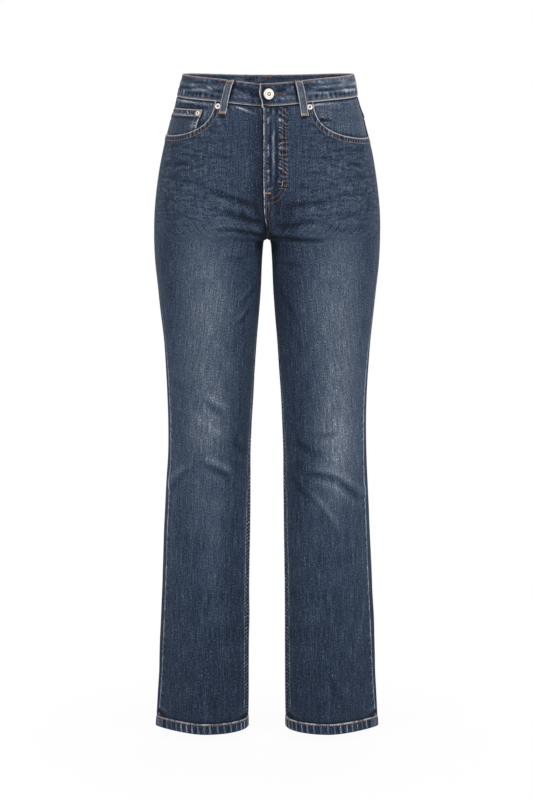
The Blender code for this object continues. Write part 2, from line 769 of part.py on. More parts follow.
def button(collection, material):
    """Head with a raised rim and a dished middle, on a shank through the buttonhole's eye."""
    shank = -(BAND_WALL + LAYER) + GAP
    r = BUTTON_RADIUS
    profile = [
        (0, 2.6 * MM),
        (1.6 * MM, 2.5 * MM),
        (2.2 * MM, 1.9 * MM),
        (0.62 * r, 2.1 * MM),
        (0.72 * r, 2.6 * MM),
        (0.92 * r, 2.6 * MM),
        (r, 2.0 * MM),
        (r, 0.8 * MM),
        (0.9 * r, GAP),
        (2.3 * MM, GAP),
        (2.3 * MM, shank),
        (0, shank),
    ]
    place = (BUTTON_HEIGHT, BUTTON_ARC, BAND_LIFT, 1)
    return turned("waist_button", profile, collection, material, *place)


def rivet(name, radius, height, arc, lift, side, collection, material):
    """A flat burr with a rounded rim and a small nipple."""
    profile = [
        (0, 1.6 * MM),
        (0.22 * radius, 1.3 * MM),
        (0.34 * radius, 0.8 * MM),
        (0.75 * radius, 0.9 * MM),
        (radius, 0.5 * MM),
        (radius, 0),
        (0, 0),
    ]
    return turned(name, profile, collection, material, height, arc, lift + GAP, side)


def mouth_rivet(side_name, collection, material):
    arc = MOUTH_START[side_name] - RIVET_INSET
    height = waist_seam(ring_fraction(waist_seam(FRONT_MIDDLE), np.array([arc]))[0]) - RIVET_DROP
    place = (RIVET_RADIUS, height, arc, 0.0, SIDES[side_name])
    return rivet(f"rivet_{side_name}", *place, collection, material)


def coin_rivet(collection, material):
    """At the coin pocket's top inner corner."""
    arc = COIN_START + COIN_RIVET_ACROSS
    height = coin_top(np.array([arc]))[0] - COIN_RIVET_DOWN
    lift = -LAYER + SMALL_LAYER
    return rivet("rivet_coin", COIN_RIVET_RADIUS, height, arc, lift, -1, collection, material)


def main():
    clear_scene()
    jeans = make_collection("Straight-leg jeans")
    cutters = make_collection("Cutters")

    denim = make_material("Front denim", (0.045, 0.062, 0.098), 0.85)
    back_denim = make_material("Back denim", (0.040, 0.056, 0.090), 0.85)
    dark_denim = make_material("Facing denim", (0.032, 0.046, 0.076), 0.88)
    band_denim = make_material("Band denim", (0.050, 0.068, 0.104), 0.85)
    cotton = make_material("Pocket cotton", (0.62, 0.60, 0.55), 0.9)
    tape = make_material("Zip tape", (0.03, 0.035, 0.05), 0.7)
    metal = make_material("Worn nickel", (0.62, 0.59, 0.55), 0.35, 1.0)
    cutter = make_material("Cutter", (0.8, 0.1, 0.1), 0.5)

    for side_name in SIDES:
        front_panel(side_name, jeans, denim)
        back_panel(side_name, jeans, back_denim)
        yoke(side_name, jeans, back_denim)
        pocket_facing(side_name, jeans, dark_denim)
        pocket_bag(side_name, jeans, cotton)
        back_pocket(side_name, jeans, back_denim)
        hem(side_name, jeans, band_denim)
        mouth_rivet(side_name, jeans, metal)
    coin_pocket(jeans, dark_denim)
    coin_rivet(jeans, metal)
    waistband(jeans, band_denim, cutters, cutter)
    button(jeans, metal)

    zip_lift = -(DENIM + FLY_LAYER)
    shield_lift = zip_lift - ZIP_WALL - FLY_LAYER
    fly_strip("fly_zip", ZIP_WALL, zip_lift, ZIP_FROM, ZIP_TO, ZIP_BOTTOM, jeans, tape)
    shield_edges = (SHIELD_FROM, SHIELD_TO, SHIELD_BOTTOM)
    fly_strip("fly_shield", DENIM, shield_lift, *shield_edges, jeans, dark_denim)
    for row in LOOPS:
        belt_loop(*row, jeans, band_denim)


main()
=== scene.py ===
import math

import bpy
import numpy as np
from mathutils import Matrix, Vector
from mathutils.bvhtree import BVHTree


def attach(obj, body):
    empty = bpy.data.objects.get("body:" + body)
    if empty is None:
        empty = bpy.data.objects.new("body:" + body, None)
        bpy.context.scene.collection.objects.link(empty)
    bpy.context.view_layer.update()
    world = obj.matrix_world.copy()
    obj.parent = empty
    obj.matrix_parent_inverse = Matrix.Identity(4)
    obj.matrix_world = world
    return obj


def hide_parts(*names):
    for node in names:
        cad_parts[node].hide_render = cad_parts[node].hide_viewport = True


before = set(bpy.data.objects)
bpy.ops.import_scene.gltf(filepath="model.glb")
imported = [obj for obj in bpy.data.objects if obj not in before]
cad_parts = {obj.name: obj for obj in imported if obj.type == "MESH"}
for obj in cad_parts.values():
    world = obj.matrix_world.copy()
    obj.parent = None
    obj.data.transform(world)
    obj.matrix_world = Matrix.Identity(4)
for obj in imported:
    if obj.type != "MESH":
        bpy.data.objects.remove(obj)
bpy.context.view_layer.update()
print("frame loaded with", len(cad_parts), "solids")

# Sizes are millimetres here, and a mesh is scaled to metres as it is made.
# The front faces -Y, and the wearer's left is +X.
mm = 0.001
sides = {"Left": 1, "Right": -1}

jeans = {
    "crotch": -240,
    "crotchY": -4,
    "riseFront": 95,  # how high the front rise curves before it stands upright
    "riseBack": 130,
    "riseTo": -238,  # the stitched part of the rise ends here
    "inseamFrom": -256,
    "hemBottom": -1014.2,
    "hemHeight": 17.2,
    "hemShapeFrom": -700,  # from here down the section draws in to its outer edge
    "hemShapeTo": -960,
    "bandHeight": 34,
    "bandTopFront": -7.5,
    "bandTopSide": 15.5,
    "bandTopBack": 22,
    "bandBow": 2.4,  # the front of the band stands a little above a plain curve
    "bowAt": 0.19,
    "bowWidth": 0.13,
    "flyShift": 5.6,  # the left front laps this far past the middle
    "flyShiftFrom": -230,
    "flyShiftTo": -203,
    "denim": 1.2,
    "layer": 0.6,  # between two layers of cloth
}
hemTop = jeans["hemBottom"] + jeans["hemHeight"]

# height, half width, depth of the front and back crowns, their distance from the middle,
# and how far the side seam lies in front of the side
bodySections = np.array([
    (40, 122, 87, 90, 10, 14, 5),
    (10, 133, 92, 95, 12, 18, 5),
    (-25, 142.5, 97, 102, 20, 30, 5),
    (-68, 154, 102, 112, 38, 50, 4),
    (-110, 163.5, 105, 121, 55, 66, 4),
    (-150, 170.5, 106, 128, 68, 76, 4),
    (-190, 175, 105, 129, 79, 84, 4),
    (-230, 176, 102, 122, 87, 88, 4),
    (-270, 175, 98, 111, 90, 90, 7),
    (-320, 170, 93, 101, 90, 90, 12),
    (-400, 161.5, 85, 88, 88.5, 88.5, 17),
    (-480, 156.5, 76, 75, 89, 89, 19),
    (-560, 156, 69, 65, 90.5, 90.5, 19),
    (-640, 159.5, 63, 60, 92.5, 92.5, 17),
    (-740, 164.5, 59, 58, 96, 96, 14),
    (-860, 170, 57, 58, 97, 97, 4),
    (-1020, 177.5, 57, 58, 97, 97, -4),
])[::-1]
# height, distance of the inseam from the middle, its y, and how far the seam lies in front
inseamSections = np.array([
    (-240, 0.3, -4, 0),
    (-241, 3.6, -4, 0),
    (-244, 5.2, -4, 0),
    (-251, 6.2, -4, 0.5),
    (-262, 7.0, -4, 1.5),
    (-320, 9.8, -3, 4),
    (-400, 16, -2, 8),
    (-480, 22, 0, 12),
    (-560, 24.5, 1, 15),
    (-700, 26.5, 1, 16),
    (-860, 28, 1, 17),
    (-1020, 30, 1, 18),
])[::-1]
# the waist hangs a little to one side: by height, how far its right and left sides go out
swayByHeight = np.array([
    (-240, 0, 0), (-180, -1.0, 0), (-105, -0.9, 0), (-75, -0.9, -0.5), (-56, -1.8, -0.2),
    (-45, -2.3, 0), (-34, -2.5, -0.9), (-20, -1.9, -1.0), (-5, -2.0, 1.0), (8, -2.2, 2.2),
    (20, -0.8, 2.5),
])
swayReach = 120  # the whole sway is reached this far from the middle


# The body surface. Every piece of cloth is made from points at a height and an arc length
# round from the centre front, or from the inseam below the crotch.


def smooth(low, high, value):
    t = np.clip((value - low) / (high - low), 0, 1)
    return t * t * (3 - 2 * t)


def fall(low, high, value):
    return 1 - smooth(low, high, value)


def bump(value, place, width):
    # 1 at the place, falling to nothing on both sides
    return np.exp(-(((value - place) / width) ** 2))


def unit(vectors):
    return vectors / np.linalg.norm(vectors, axis=-1, keepdims=True)


def runAlong(points):
    # how far each point is along its line
    return np.concatenate([[0], np.cumsum(np.linalg.norm(np.diff(points, axis=0), axis=1))])


def readSection(table, column, height):
    knots, values = table[:, 0], table[:, column]
    slopes = np.gradient(values, knots)
    height = np.clip(height, knots[0], knots[-1])
    i = np.clip(np.searchsorted(knots, height) - 1, 0, len(knots) - 2)
    step = knots[i + 1] - knots[i]
    t = (height - knots[i]) / step
    blend = t * t * (3 - 2 * t)
    bend = t * (1 - t) * step * ((1 - t) * slopes[i] - t * slopes[i + 1])
    return values[i] * (1 - blend) + values[i + 1] * blend + bend


def bezier(start, startHandle, endHandle, end, steps):
    t = np.linspace(0, 1, steps + 1)[None, :, None]
    a, b, c, d = (np.stack(p, axis=-1)[:, None, :] for p in (start, startHandle, endHandle, end))
    return (1 - t) ** 3 * a + 3 * t * (1 - t) ** 2 * b + 3 * t * t * (1 - t) * c + t**3 * d


# how far each curve of a section runs on before it turns, as parts of its span
curves = {"rise": 0.45, "thigh": 0.55, "crown": 0.55, "sideOut": 0.57, "sideDown": 0.56,
          "hemOut": 0.22, "hemDown": 0.4}


def outline(height, steps=40):
    # half a section: front inner end, front crown, side, back crown, back inner end
    side = readSection(bodySections, 1, height)
    leg = height < jeans["crotch"]
    hemShape = smooth(jeans["hemShapeFrom"], jeans["hemShapeTo"], height)
    half = []
    for sign, depthColumn, crownColumn, rise in (
        (-1, 2, 4, jeans["riseFront"]),
        (1, 3, 5, jeans["riseBack"]),
    ):
        depth = sign * readSection(bodySections, depthColumn, height)
        crown = readSection(bodySections, crownColumn, height)
        up = np.clip((height - jeans["crotch"]) / rise, 0, 1)
        innerX = np.where(leg, readSection(inseamSections, 1, height), 0.0)
        bodyY = jeans["crotchY"] + (depth - jeans["crotchY"]) * np.sqrt(1 - (1 - up) ** 2)
        innerY = np.where(leg, readSection(inseamSections, 2, height), bodyY)
        turn = np.where(leg, 1, (1 - up) ** 1.5)
        reach = (1 - turn) * curves["rise"] * (crown - innerX)
        reach = reach + turn * curves["thigh"] * np.abs(depth - innerY)
        angle = turn * math.pi / 2
        inner = bezier(
            (innerX, innerY),
            (innerX + reach * np.cos(angle), innerY + sign * reach * np.sin(angle)),
            (crown - curves["crown"] * (crown - innerX), depth),
            (crown, depth),
            steps,
        )
        out = curves["sideOut"] - curves["hemOut"] * hemShape
        down = curves["sideDown"] - curves["hemDown"] * hemShape
        outer = bezier(
            (crown, depth),
            (crown + out * (side - crown), depth),
            (side, down * depth),
            (side, 0 * side),
            steps,
        )
        half.append(np.concatenate([inner, outer[:, 1:]], axis=1))
    return np.concatenate([half[0], half[1][:, -2::-1]], axis=1)


sectionHeights = np.concatenate([
    np.arange(-1036.0, -264, 4), np.arange(-264.0, -200, 0.5), np.arange(-200.0, 47, 3)
])
sectionSteps = 480


def measureSections():
    points = outline(sectionHeights)
    steps = np.linalg.norm(np.diff(points, axis=1), axis=2)
    lengths = np.concatenate([np.zeros((len(points), 1)), np.cumsum(steps, axis=1)], axis=1)
    sideArcs = lengths[:, lengths.shape[1] // 2] - readSection(bodySections, 6, sectionHeights)
    even = np.linspace(0, 1, sectionSteps + 1)
    plans = np.empty((len(points), sectionSteps + 1, 2))
    for row in range(len(points)):
        for axis in (0, 1):
            plans[row, :, axis] = np.interp(
                even * lengths[row, -1], lengths[row], points[row, :, axis]
            )
    return plans, lengths[:, -1], sideArcs


sectionPlans, sectionLengths, sectionSideArcs = measureSections()


def halfLength(height):
    return np.interp(height, sectionHeights, sectionLengths)


def sideArc(height):
    return np.interp(height, sectionHeights, sectionSideArcs)


def planPoint(height, arc):
    total = halfLength(height)
    leg = height < jeans["crotch"]
    across = ~leg & ((arc < 0) | (arc > total))
    mirrored = np.where(arc > total, 2 * total - arc, np.abs(arc))
    along = np.clip(np.where(leg, arc % total, mirrored) / total, 0, 1) * sectionSteps
    row = np.clip(np.searchsorted(sectionHeights, height) - 1, 0, len(sectionHeights) - 2)
    up = (height - sectionHeights[row]) / (sectionHeights[row + 1] - sectionHeights[row])
    column = np.clip(along.astype(int), 0, sectionSteps - 1)
    t = (along - column)[..., None]
    low = sectionPlans[row, column] * (1 - t) + sectionPlans[row, column + 1] * t
    high = sectionPlans[row + 1, column] * (1 - t) + sectionPlans[row + 1, column + 1] * t
    xy = low + (high - low) * up[..., None]
    return np.where(across, -xy[..., 0], xy[..., 0]), xy[..., 1]


def surfaceAt(height, arc, side=1, step=1.5):
    # points on the body surface and the directions that lead straight out of it
    height, arc, side = np.broadcast_arrays(*(np.asarray(v, float) for v in (height, arc, side)))
    x, y = planPoint(height, arc)
    aheadX, aheadY = planPoint(height, arc + step)
    behindX, behindY = planPoint(height, arc - step)
    aboveX, aboveY = planPoint(height + step, arc)
    belowX, belowY = planPoint(height - step, arc)
    along = np.stack([aheadX - behindX, aheadY - behindY, 0 * x], axis=-1)
    upward = np.stack([aboveX - belowX, aboveY - belowY, 0 * x + 2 * step], axis=-1)
    normal = unit(np.cross(along, upward))
    right, left = (np.interp(height, swayByHeight[:, 0], swayByHeight[:, k]) for k in (1, 2))
    x = x + np.where(side > 0, left, right) * np.clip(x / swayReach, 0, 1) ** 2
    points = np.stack([x, y, height], axis=-1)
    turn = np.stack([side, 1 + 0 * side, 1 + 0 * side], axis=-1)
    return points * turn, normal * turn


def bandTop(fraction):
    swing = (jeans["bandTopFront"] - jeans["bandTopBack"]) / 2
    middle = (jeans["bandTopFront"] + jeans["bandTopBack"]) / 2
    mean = (middle + jeans["bandTopSide"]) / 2
    angle = math.pi * np.asarray(fraction)
    bow = jeans["bandBow"] * bump(np.asarray(fraction), jeans["bowAt"], jeans["bowWidth"])
    return mean + swing * np.cos(angle) + (middle - mean) * np.cos(2 * angle) + bow


def waistSeam(fraction):
    return bandTop(fraction) - jeans["bandHeight"]


frontLevel = float(waistSeam(0.2))
backLevel = float(waistSeam(0.5))


def frontStart(height, side):
    shift = jeans["flyShift"] * smooth(jeans["flyShiftFrom"], jeans["flyShiftTo"], height)
    inLeg = readSection(inseamSections, 3, height)
    return np.where(height < jeans["crotch"], inLeg, -side * shift)


def backEnd(height):
    inLeg = readSection(inseamSections, 3, height)
    return halfLength(height) + np.where(height < jeans["crotch"], inLeg, 0.0)


# arcs of the side seam and the centre back, at the waist
frontEnd = float(sideArc(frontLevel))
backFirst, backLast = float(sideArc(backLevel)), float(backEnd(backLevel))
halfRing = float(halfLength(0))


def frontSeam(arcs):
    return waistSeam(arcs / halfLength(frontLevel))


# Softness: smooth noise for the cloth's slack, and creases drawn as strokes


def softNoise(x, y, seed):
    lattice = np.random.default_rng(seed).uniform(-1, 1, (64, 64))
    column, row = np.floor(x).astype(int), np.floor(y).astype(int)
    u, v = x - column, y - row
    u, v = u * u * (3 - 2 * u), v * v * (3 - 2 * v)
    corners = [
        [lattice[(row + b) % 64, (column + a) % 64] for a in (0, 1)] for b in (0, 1)
    ]
    low = corners[0][0] + (corners[0][1] - corners[0][0]) * u
    high = corners[1][0] + (corners[1][1] - corners[1][0]) * u
    return low + (high - low) * v


def roundedPath(path, pieces=24):
    path = np.array(path, float)
    knots = runAlong(path)
    where = np.linspace(0, knots[-1], pieces + 1)
    if len(path) == 2:
        return np.stack([np.interp(where, knots, path[:, k]) for k in (0, 1)], axis=1)
    table = np.column_stack([knots, path])
    return np.stack([readSection(table, 1, where), readSection(table, 2, where)], axis=1)


def strokeDistance(x, z, path):
    # distance from the stroke, positive on its upper side, and how far along it
    path = roundedPath(path)
    a, b = path[:-1], path[1:]
    step = b - a
    point = np.stack([x, z], axis=-1)[..., None, :] - a
    t = np.clip((point * step).sum(-1) / (step**2).sum(-1), 0, 1)
    gap = point - t[..., None] * step
    distance = np.linalg.norm(gap, axis=-1)
    nearest = distance.argmin(axis=-1)[..., None]
    pick = lambda values: np.take_along_axis(values, nearest, axis=-1)[..., 0]
    above = step[:, 0] * gap[..., 1] - step[:, 1] * gap[..., 0]
    direction = 1 if path[-1, 0] >= path[0, 0] else -1
    signed = pick(distance) * np.where(pick(above) * direction >= 0, 1, -1)
    return signed, (nearest[..., 0] + pick(t)) / len(a)


# Each row of a crease table: its path as x, z, x, z and so on, the trough's width and depth,
# how dark the trough is and how pale its lips, how long each end takes to taper off, and the
# height of its upper and lower lips as parts of the depth. What a row leaves off is as usual.
# The trough's dark is painted shade and the lips' pale painted light, with some real wear.
creaseColumns = ("path", "width", "depth", "dark", "pale", "ends", "ridges")
usualCrease = {"dark": 0.15, "pale": 0.05, "ends": (0.35, 0.35), "ridges": (0.4, 0.4)}


def creaseRelief(x, z, creases):
    # how far the creases move the cloth out, and how they change its tone: painted shade in the
    # troughs and painted light on the lips, with some real wear
    relief, fade = np.zeros_like(x), np.zeros_like(x)
    for row in creases:
        crease = dict(usualCrease, **dict(zip(creaseColumns, row)))
        path = np.reshape(crease["path"], (-1, 2)).astype(float)
        reach = 6 * crease["width"]
        near = (x > path[:, 0].min() - reach) & (x < path[:, 0].max() + reach)
        near &= (z > path[:, 1].min() - reach) & (z < path[:, 1].max() + reach)
        if not near.any():
            continue
        signed, along = strokeDistance(x[near], z[near], path)
        first, last = crease["ends"]
        taper = smooth(0, first, along) * smooth(0, last, 1 - along)
        width = crease["width"]
        trough = bump(signed, 0, width) * taper
        upper = bump(signed, 1.9 * width, 1.3 * width) * taper
        lower = bump(signed, -1.9 * width, 1.3 * width) * taper
        above, below = crease["ridges"]
        lips = above * upper + below * lower
        relief[near] += crease["depth"] * (lips - trough)
        fade[near] += crease["pale"] * lips - crease["dark"] * trough
    return relief, fade


# Meshes


def gridFaces(rows, columns, ring=False, flip=False, loop=False):
    # ring joins the last column to the first, and loop the last row to the first
    row, column = np.meshgrid(
        np.arange(rows if loop else rows - 1),
        np.arange(columns if ring else columns - 1),
        indexing="ij",
    )
    right, above = (column + 1) % columns, (row + 1) % rows
    corners = [row * columns + column, row * columns + right]
    corners += [above * columns + right, above * columns + column]
    faces = np.stack([c.ravel() for c in corners], axis=1)
    return (faces[:, ::-1] if flip else faces).tolist()


def tubeFaces(rows, columns, flip=True):
    # a ring of faces with a cap at each end
    caps = [list(range(columns)), [(rows - 1) * columns + c for c in range(columns)][::-1]]
    return gridFaces(rows, columns, True, flip) + [cap if flip else cap[::-1] for cap in caps]


def putInScene(name, data, location=(0, 0, 0)):
    thing = bpy.data.objects.new(name, data)
    thing.location = location
    bpy.context.scene.collection.objects.link(thing)
    return thing


def makeMesh(name, points, faces, materials, layers=None, uv=None):
    mesh = bpy.data.meshes.new(name)
    mesh.from_pydata((points.reshape(-1, 3) * mm).tolist(), [], faces)
    corners = np.empty(len(mesh.loops), int)
    mesh.loops.foreach_get("vertex_index", corners)
    if uv is not None:
        layer = mesh.uv_layers.new(name="cloth")
        layer.uv.foreach_set("vector", uv.reshape(-1, 2)[corners].astype(np.float32).ravel())
    for key, values in (layers or {}).items():
        attribute = mesh.attributes.new(key, "FLOAT", "POINT")
        attribute.data.foreach_set("value", np.asarray(values, np.float32).ravel())
    for material in materials:
        mesh.materials.append(material)
    mesh.shade_smooth()
    mesh.update()
    return putInScene(name, mesh)


def addPiece(piece, prefix=""):
    # CoinPocket takes the place of the solid coin_pocket, and so on
    spread = "".join("_" + c.lower() if c.isupper() else c for c in piece.name)
    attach(piece, "root")
    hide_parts(prefix + spread[1:])


def makeCloth(name, material, points, layers, heights, arcs, side, middle=0,
              slot="denim", wall=jeans["denim"]):
    # a panel with a wall behind it, which for denim shows its paler wrong side
    materials = [material, wrongSide] if "denim" in slot else [material]
    uv = np.stack([arcs - middle, heights], axis=-1)
    faces = gridFaces(*points.shape[:2], flip=side < 0)
    piece = makeMesh(name, points, faces, materials, layers, uv)
    thickness = piece.modifiers.new("Wall", "SOLIDIFY")
    thickness.thickness = wall * mm
    thickness.offset = -1
    thickness.use_even_offset = True
    thickness.material_offset = len(materials) - 1
    addPiece(piece)
    return piece


def surfaceTree(piece):
    mesh = piece.data
    return BVHTree.FromPolygons(
        [v.co.copy() for v in mesh.vertices], [tuple(p.vertices) for p in mesh.polygons]
    )


# Shader nodes, written as short expressions. A value may be a number or a socket.


def linearColour(red, green, blue):
    def decode(value):
        value /= 255
        return value / 12.92 if value <= 0.04045 else ((value + 0.055) / 1.055) ** 2.4

    return (decode(red), decode(green), decode(blue), 1)


class NodeDesk:
    def __init__(self, name, home=None):
        # home is what the nodes belong to, a new material unless it is given
        self.home = home or bpy.data.materials.new(name)
        self.home.use_nodes = True
        self.tree = self.home.node_tree

    def node(self, kind, **values):
        node = self.tree.nodes.new("ShaderNode" + kind)
        for key, value in values.items():
            setattr(node, key, value)
        return node

    def feed(self, socket, value):
        if isinstance(value, bpy.types.NodeSocket):
            self.tree.links.new(value, socket)
        else:
            socket.default_value = value

    def math(self, operation, *values):
        node = self.node("Math", operation=operation)
        for socket, value in zip(node.inputs, values):
            self.feed(socket, value)
        return node.outputs[0]

    def total(self, *values):
        result = values[0]
        for value in values[1:]:
            result = self.math("ADD", result, value)
        return result

    def times(self, first, second):
        return self.math("MULTIPLY", first, second)

    def shares(self, *pairs):
        return self.total(*(self.times(value, share) for value, share in pairs))

    def inverse(self, value):
        return self.math("SUBTRACT", 1, value)

    def band(self, low, high, value):
        node = self.node("MapRange", interpolation_type="SMOOTHSTEP")
        self.feed(node.inputs["Value"], value)
        self.feed(node.inputs["From Min"], low)
        self.feed(node.inputs["From Max"], high)
        return node.outputs["Result"]

    def attribute(self, name):
        return self.node("Attribute", attribute_name=name).outputs["Fac"]

    def cloth(self):
        # arc and height in millimetres
        uv = self.node("UVMap", uv_map="cloth").outputs["UV"]
        split = self.node("SeparateXYZ")
        self.feed(split.inputs[0], uv)
        return uv, split.outputs[0], split.outputs[1]

    def noise(self, vector, size, detail=2, rough=0.5):
        # centred on 0; size is the grain in millimetres across and along
        stretch = self.node("VectorMath", operation="MULTIPLY")
        self.feed(stretch.inputs[0], vector)
        stretch.inputs[1].default_value = (1 / size[0], 1 / size[1], 1 / size[-1])
        node = self.node("TexNoise")
        self.feed(node.inputs["Vector"], stretch.outputs[0])
        node.inputs["Scale"].default_value = 1
        node.inputs["Detail"].default_value = detail
        node.inputs["Roughness"].default_value = rough
        return self.math("SUBTRACT", node.outputs["Fac"], 0.5)

    def ramp(self, value, stops):
        node = self.node("ValToRGB")
        self.feed(node.inputs["Fac"], value)
        elements = node.color_ramp.elements
        elements[0].position, elements[1].position = stops[0][0], stops[-1][0]
        for place, _ in stops[1:-1]:
            elements.new(place)
        for element, (_, colour) in zip(elements, stops):
            element.color = linearColour(*colour)
        return node.outputs["Color"]

    def finish(self, colour, roughness, height=None, sheen=0.0, metallic=0.0):
        inputs = self.tree.nodes["Principled BSDF"].inputs
        self.feed(inputs["Base Color"], colour)
        self.feed(inputs["Roughness"], roughness)
        inputs["Metallic"].default_value = metallic
        if sheen:
            inputs["Sheen Weight"].default_value = sheen
            inputs["Sheen Roughness"].default_value = 0.45
            inputs["Sheen Tint"].default_value = linearColour(168, 188, 218)
            inputs["Specular IOR Level"].default_value = 0.3
        if height is not None:
            raised = self.node("Bump")
            raised.inputs["Distance"].default_value = mm
            self.feed(raised.inputs["Height"], height)
            self.feed(inputs["Normal"], raised.outputs["Normal"])
        return self.home


# Denim. Its shade runs from 0, raw indigo, to 1, worn pale, and the ramp turns that to colour.
indigoShades = [
    (0.0, (9, 14, 27)),
    (0.15, (18, 33, 54)),
    (0.32, (35, 51, 75)),
    (0.5, (60, 73, 93)),
    (0.68, (88, 98, 112)),
    (0.84, (124, 132, 146)),
    (1.0, (186, 192, 203)),
]

denim = {
    "shade": 0.41,
    "streaks": 0.72,  # long uneven warp threads
    "slubs": 0.18,
    "threads": 0.42,
    "grain": 1.12,
    "clouds": 0.17,
    "wrinkles": 0.85,
    "twill": 0.05,
    "twillPitch": 1.15,
    "deep": 0.75,
    "sheen": 0.07,
    "roughness": 0.86,
}


usualSeam = {"runs": "along", "slant": 0.0, "drift": 2.0, "tone": 0.0, "relief": 0.3,
             "edgeWidth": 1.6}


def denimMaterial(name, seams=(), **changes):
    look = dict(denim, **changes)
    desk = NodeDesk(name)
    uv, across, along = desk.cloth()
    streaks = desk.noise(uv, (1.4, 30), 3, 0.6)
    slubs = desk.noise(uv, (5.5, 150), 2)
    threads = desk.noise(uv, (0.95, 7), 2, 0.6)
    grain = desk.noise(uv, (1.4, 2.2), 2, 0.6)
    clouds = desk.noise(uv, (34, 52), 3)
    # short flat wrinkles, only where the piece's "crimp" is above 0; besides their bump, their light
    # and shade are painted into the colour
    wrinkles = desk.times(desk.noise(uv, (15, 4.6), 2), desk.attribute("crimp"))
    slant = desk.math("DIVIDE", desk.total(across, desk.times(along, 0.55)), look["twillPitch"])
    twill = desk.math("SINE", desk.times(slant, 2 * math.pi))

    # the attribute read first holds the wash and wear, and also the painted shade and painted light
    # laid on by creases, edges and shadows
    base = desk.total(
        desk.attribute("fade"),
        look["shade"],
        desk.times(clouds, look["clouds"]),
        desk.times(wrinkles, look["wrinkles"]),
    )
    texture = desk.shares(
        (streaks, look["streaks"]), (slubs, look["slubs"]), (threads, look["threads"]),
        (grain, look["grain"]), (twill, look["twill"]),
    )
    # the threads differ most in shade where the indigo is deep
    deep = desk.inverse(desk.band(0.12, 0.58, base))
    shade = desk.total(base, desk.times(texture, desk.total(1, desk.times(deep, look["deep"]))))
    height = desk.shares(
        (twill, 0.045), (threads, 0.25), (grain, 0.3), (streaks, 0.18), (wrinkles, 2.4)
    )
    for changed in seams:
        seam = dict(usualSeam, **changed)
        # the cloth draws up between stitches into short pale ridges with dark hollows
        distance = desk.attribute(seam["edge"])
        run = across if seam["runs"] == "across" else along
        drift = desk.noise(uv, (26, 26), 2)
        lean = desk.times(distance, seam["slant"])
        beat = desk.total(desk.math("DIVIDE", desk.total(run, lean), seam["pitch"]))
        beat = desk.total(beat, desk.times(drift, seam["drift"]))
        wave = desk.math("SINE", desk.times(beat, 2 * math.pi))
        first, last = seam["from"], seam["to"]
        inside = desk.band(first - 0.7, first + 0.5, distance)
        outside = desk.inverse(desk.band(last * 0.6, last, distance))
        mask = desk.times(inside, outside)
        uneven = desk.total(0.85, desk.times(desk.noise(uv, (11, 11), 2), 2.6))
        pucker = desk.times(desk.times(wave, mask), uneven)
        shade = desk.total(
            shade,
            desk.times(pucker, seam["contrast"]),
            desk.times(mask, seam["tone"]),
        )
        height = desk.total(height, desk.times(pucker, seam["relief"]))
        if "ridge" in seam:
            # where the seam allowance stops, the cloth over it is rubbed to a pale line
            place, spread = seam["ridge"], seam["ridgeWidth"]
            rising = desk.band(place - spread, place, distance)
            falling = desk.inverse(desk.band(place, place + spread, distance))
            beads = desk.total(0.9, desk.times(desk.noise(uv, (5, 9), 2), 1.8))
            line = desk.times(desk.times(rising, falling), beads)
            shade = desk.total(shade, desk.times(line, seam["ridgePale"]))
            height = desk.total(height, desk.times(line, 0.3))
        if "edgeWear" in seam:
            # the fold itself is rubbed pale, and the hollow beside it stays dark
            width = seam["edgeWidth"]
            worn = desk.inverse(desk.band(0.35 * width, width, distance))
            patchy = desk.total(0.8, desk.times(desk.noise(uv, (7, 7), 3), 1.8))
            shade = desk.total(shade, desk.times(desk.times(worn, patchy), seam["edgeWear"]))
    colour = desk.ramp(shade, indigoShades)
    roughness = desk.total(look["roughness"], desk.times(grain, -0.12))
    return desk.finish(colour, roughness, height, look["sheen"])


def wrongSideMaterial():
    # the weft shows here: pale threads with the indigo only grinning through
    desk = NodeDesk("Denim wrong side")
    uv = desk.cloth()[0]
    weft = desk.noise(uv, (6, 0.9), 2, 0.6)
    grain = desk.noise(uv, (1.5, 1.5), 2, 0.7)
    clouds = desk.noise(uv, (30, 50), 2)
    value = desk.total(0.5, desk.times(weft, 0.5), desk.times(grain, 0.5), desk.times(clouds, 0.2))
    stops = [(0.0, (70, 82, 102)), (0.5, (128, 138, 153)), (1.0, (186, 191, 198))]
    return desk.finish(desk.ramp(value, stops), 0.9, desk.times(grain, 0.3), 0.1)


def threadMaterial(name, dark, pale, roughness=0.62):
    # sewing thread: two plies turning round each other, a little uneven in colour
    desk = NodeDesk(name)
    place = desk.node("TexCoord").outputs["Object"]
    patches = desk.noise(place, (0.004, 0.004), 2)
    plies = desk.noise(place, (0.00035, 0.00035), 1)
    value = desk.total(0.5, desk.times(patches, 1.6), desk.times(plies, 0.5))
    return desk.finish(desk.ramp(value, [(0.0, dark), (1.0, pale)]), roughness, plies, 0.2)


def cottonMaterial():
    # plain weave pocketing
    desk = NodeDesk("Pocket cotton")
    uv, across, along = desk.cloth()
    warp = desk.math("SINE", desk.times(across, 2 * math.pi / 0.9))
    weft = desk.math("SINE", desk.times(along, 2 * math.pi / 0.9))
    weave = desk.times(warp, weft)
    grain = desk.noise(uv, (1.6, 1.6), 2, 0.7)
    clouds = desk.noise(uv, (26, 34), 2)
    value = desk.total(0.5, desk.times(weave, 0.06), desk.times(grain, 0.4), desk.times(clouds, 0.3))
    stops = [(0.0, (170, 166, 154)), (1.0, (226, 222, 210))]
    height = desk.total(desk.times(weave, 0.08), desk.times(grain, 0.2))
    return desk.finish(desk.ramp(value, stops), 0.92, height, 0.1)


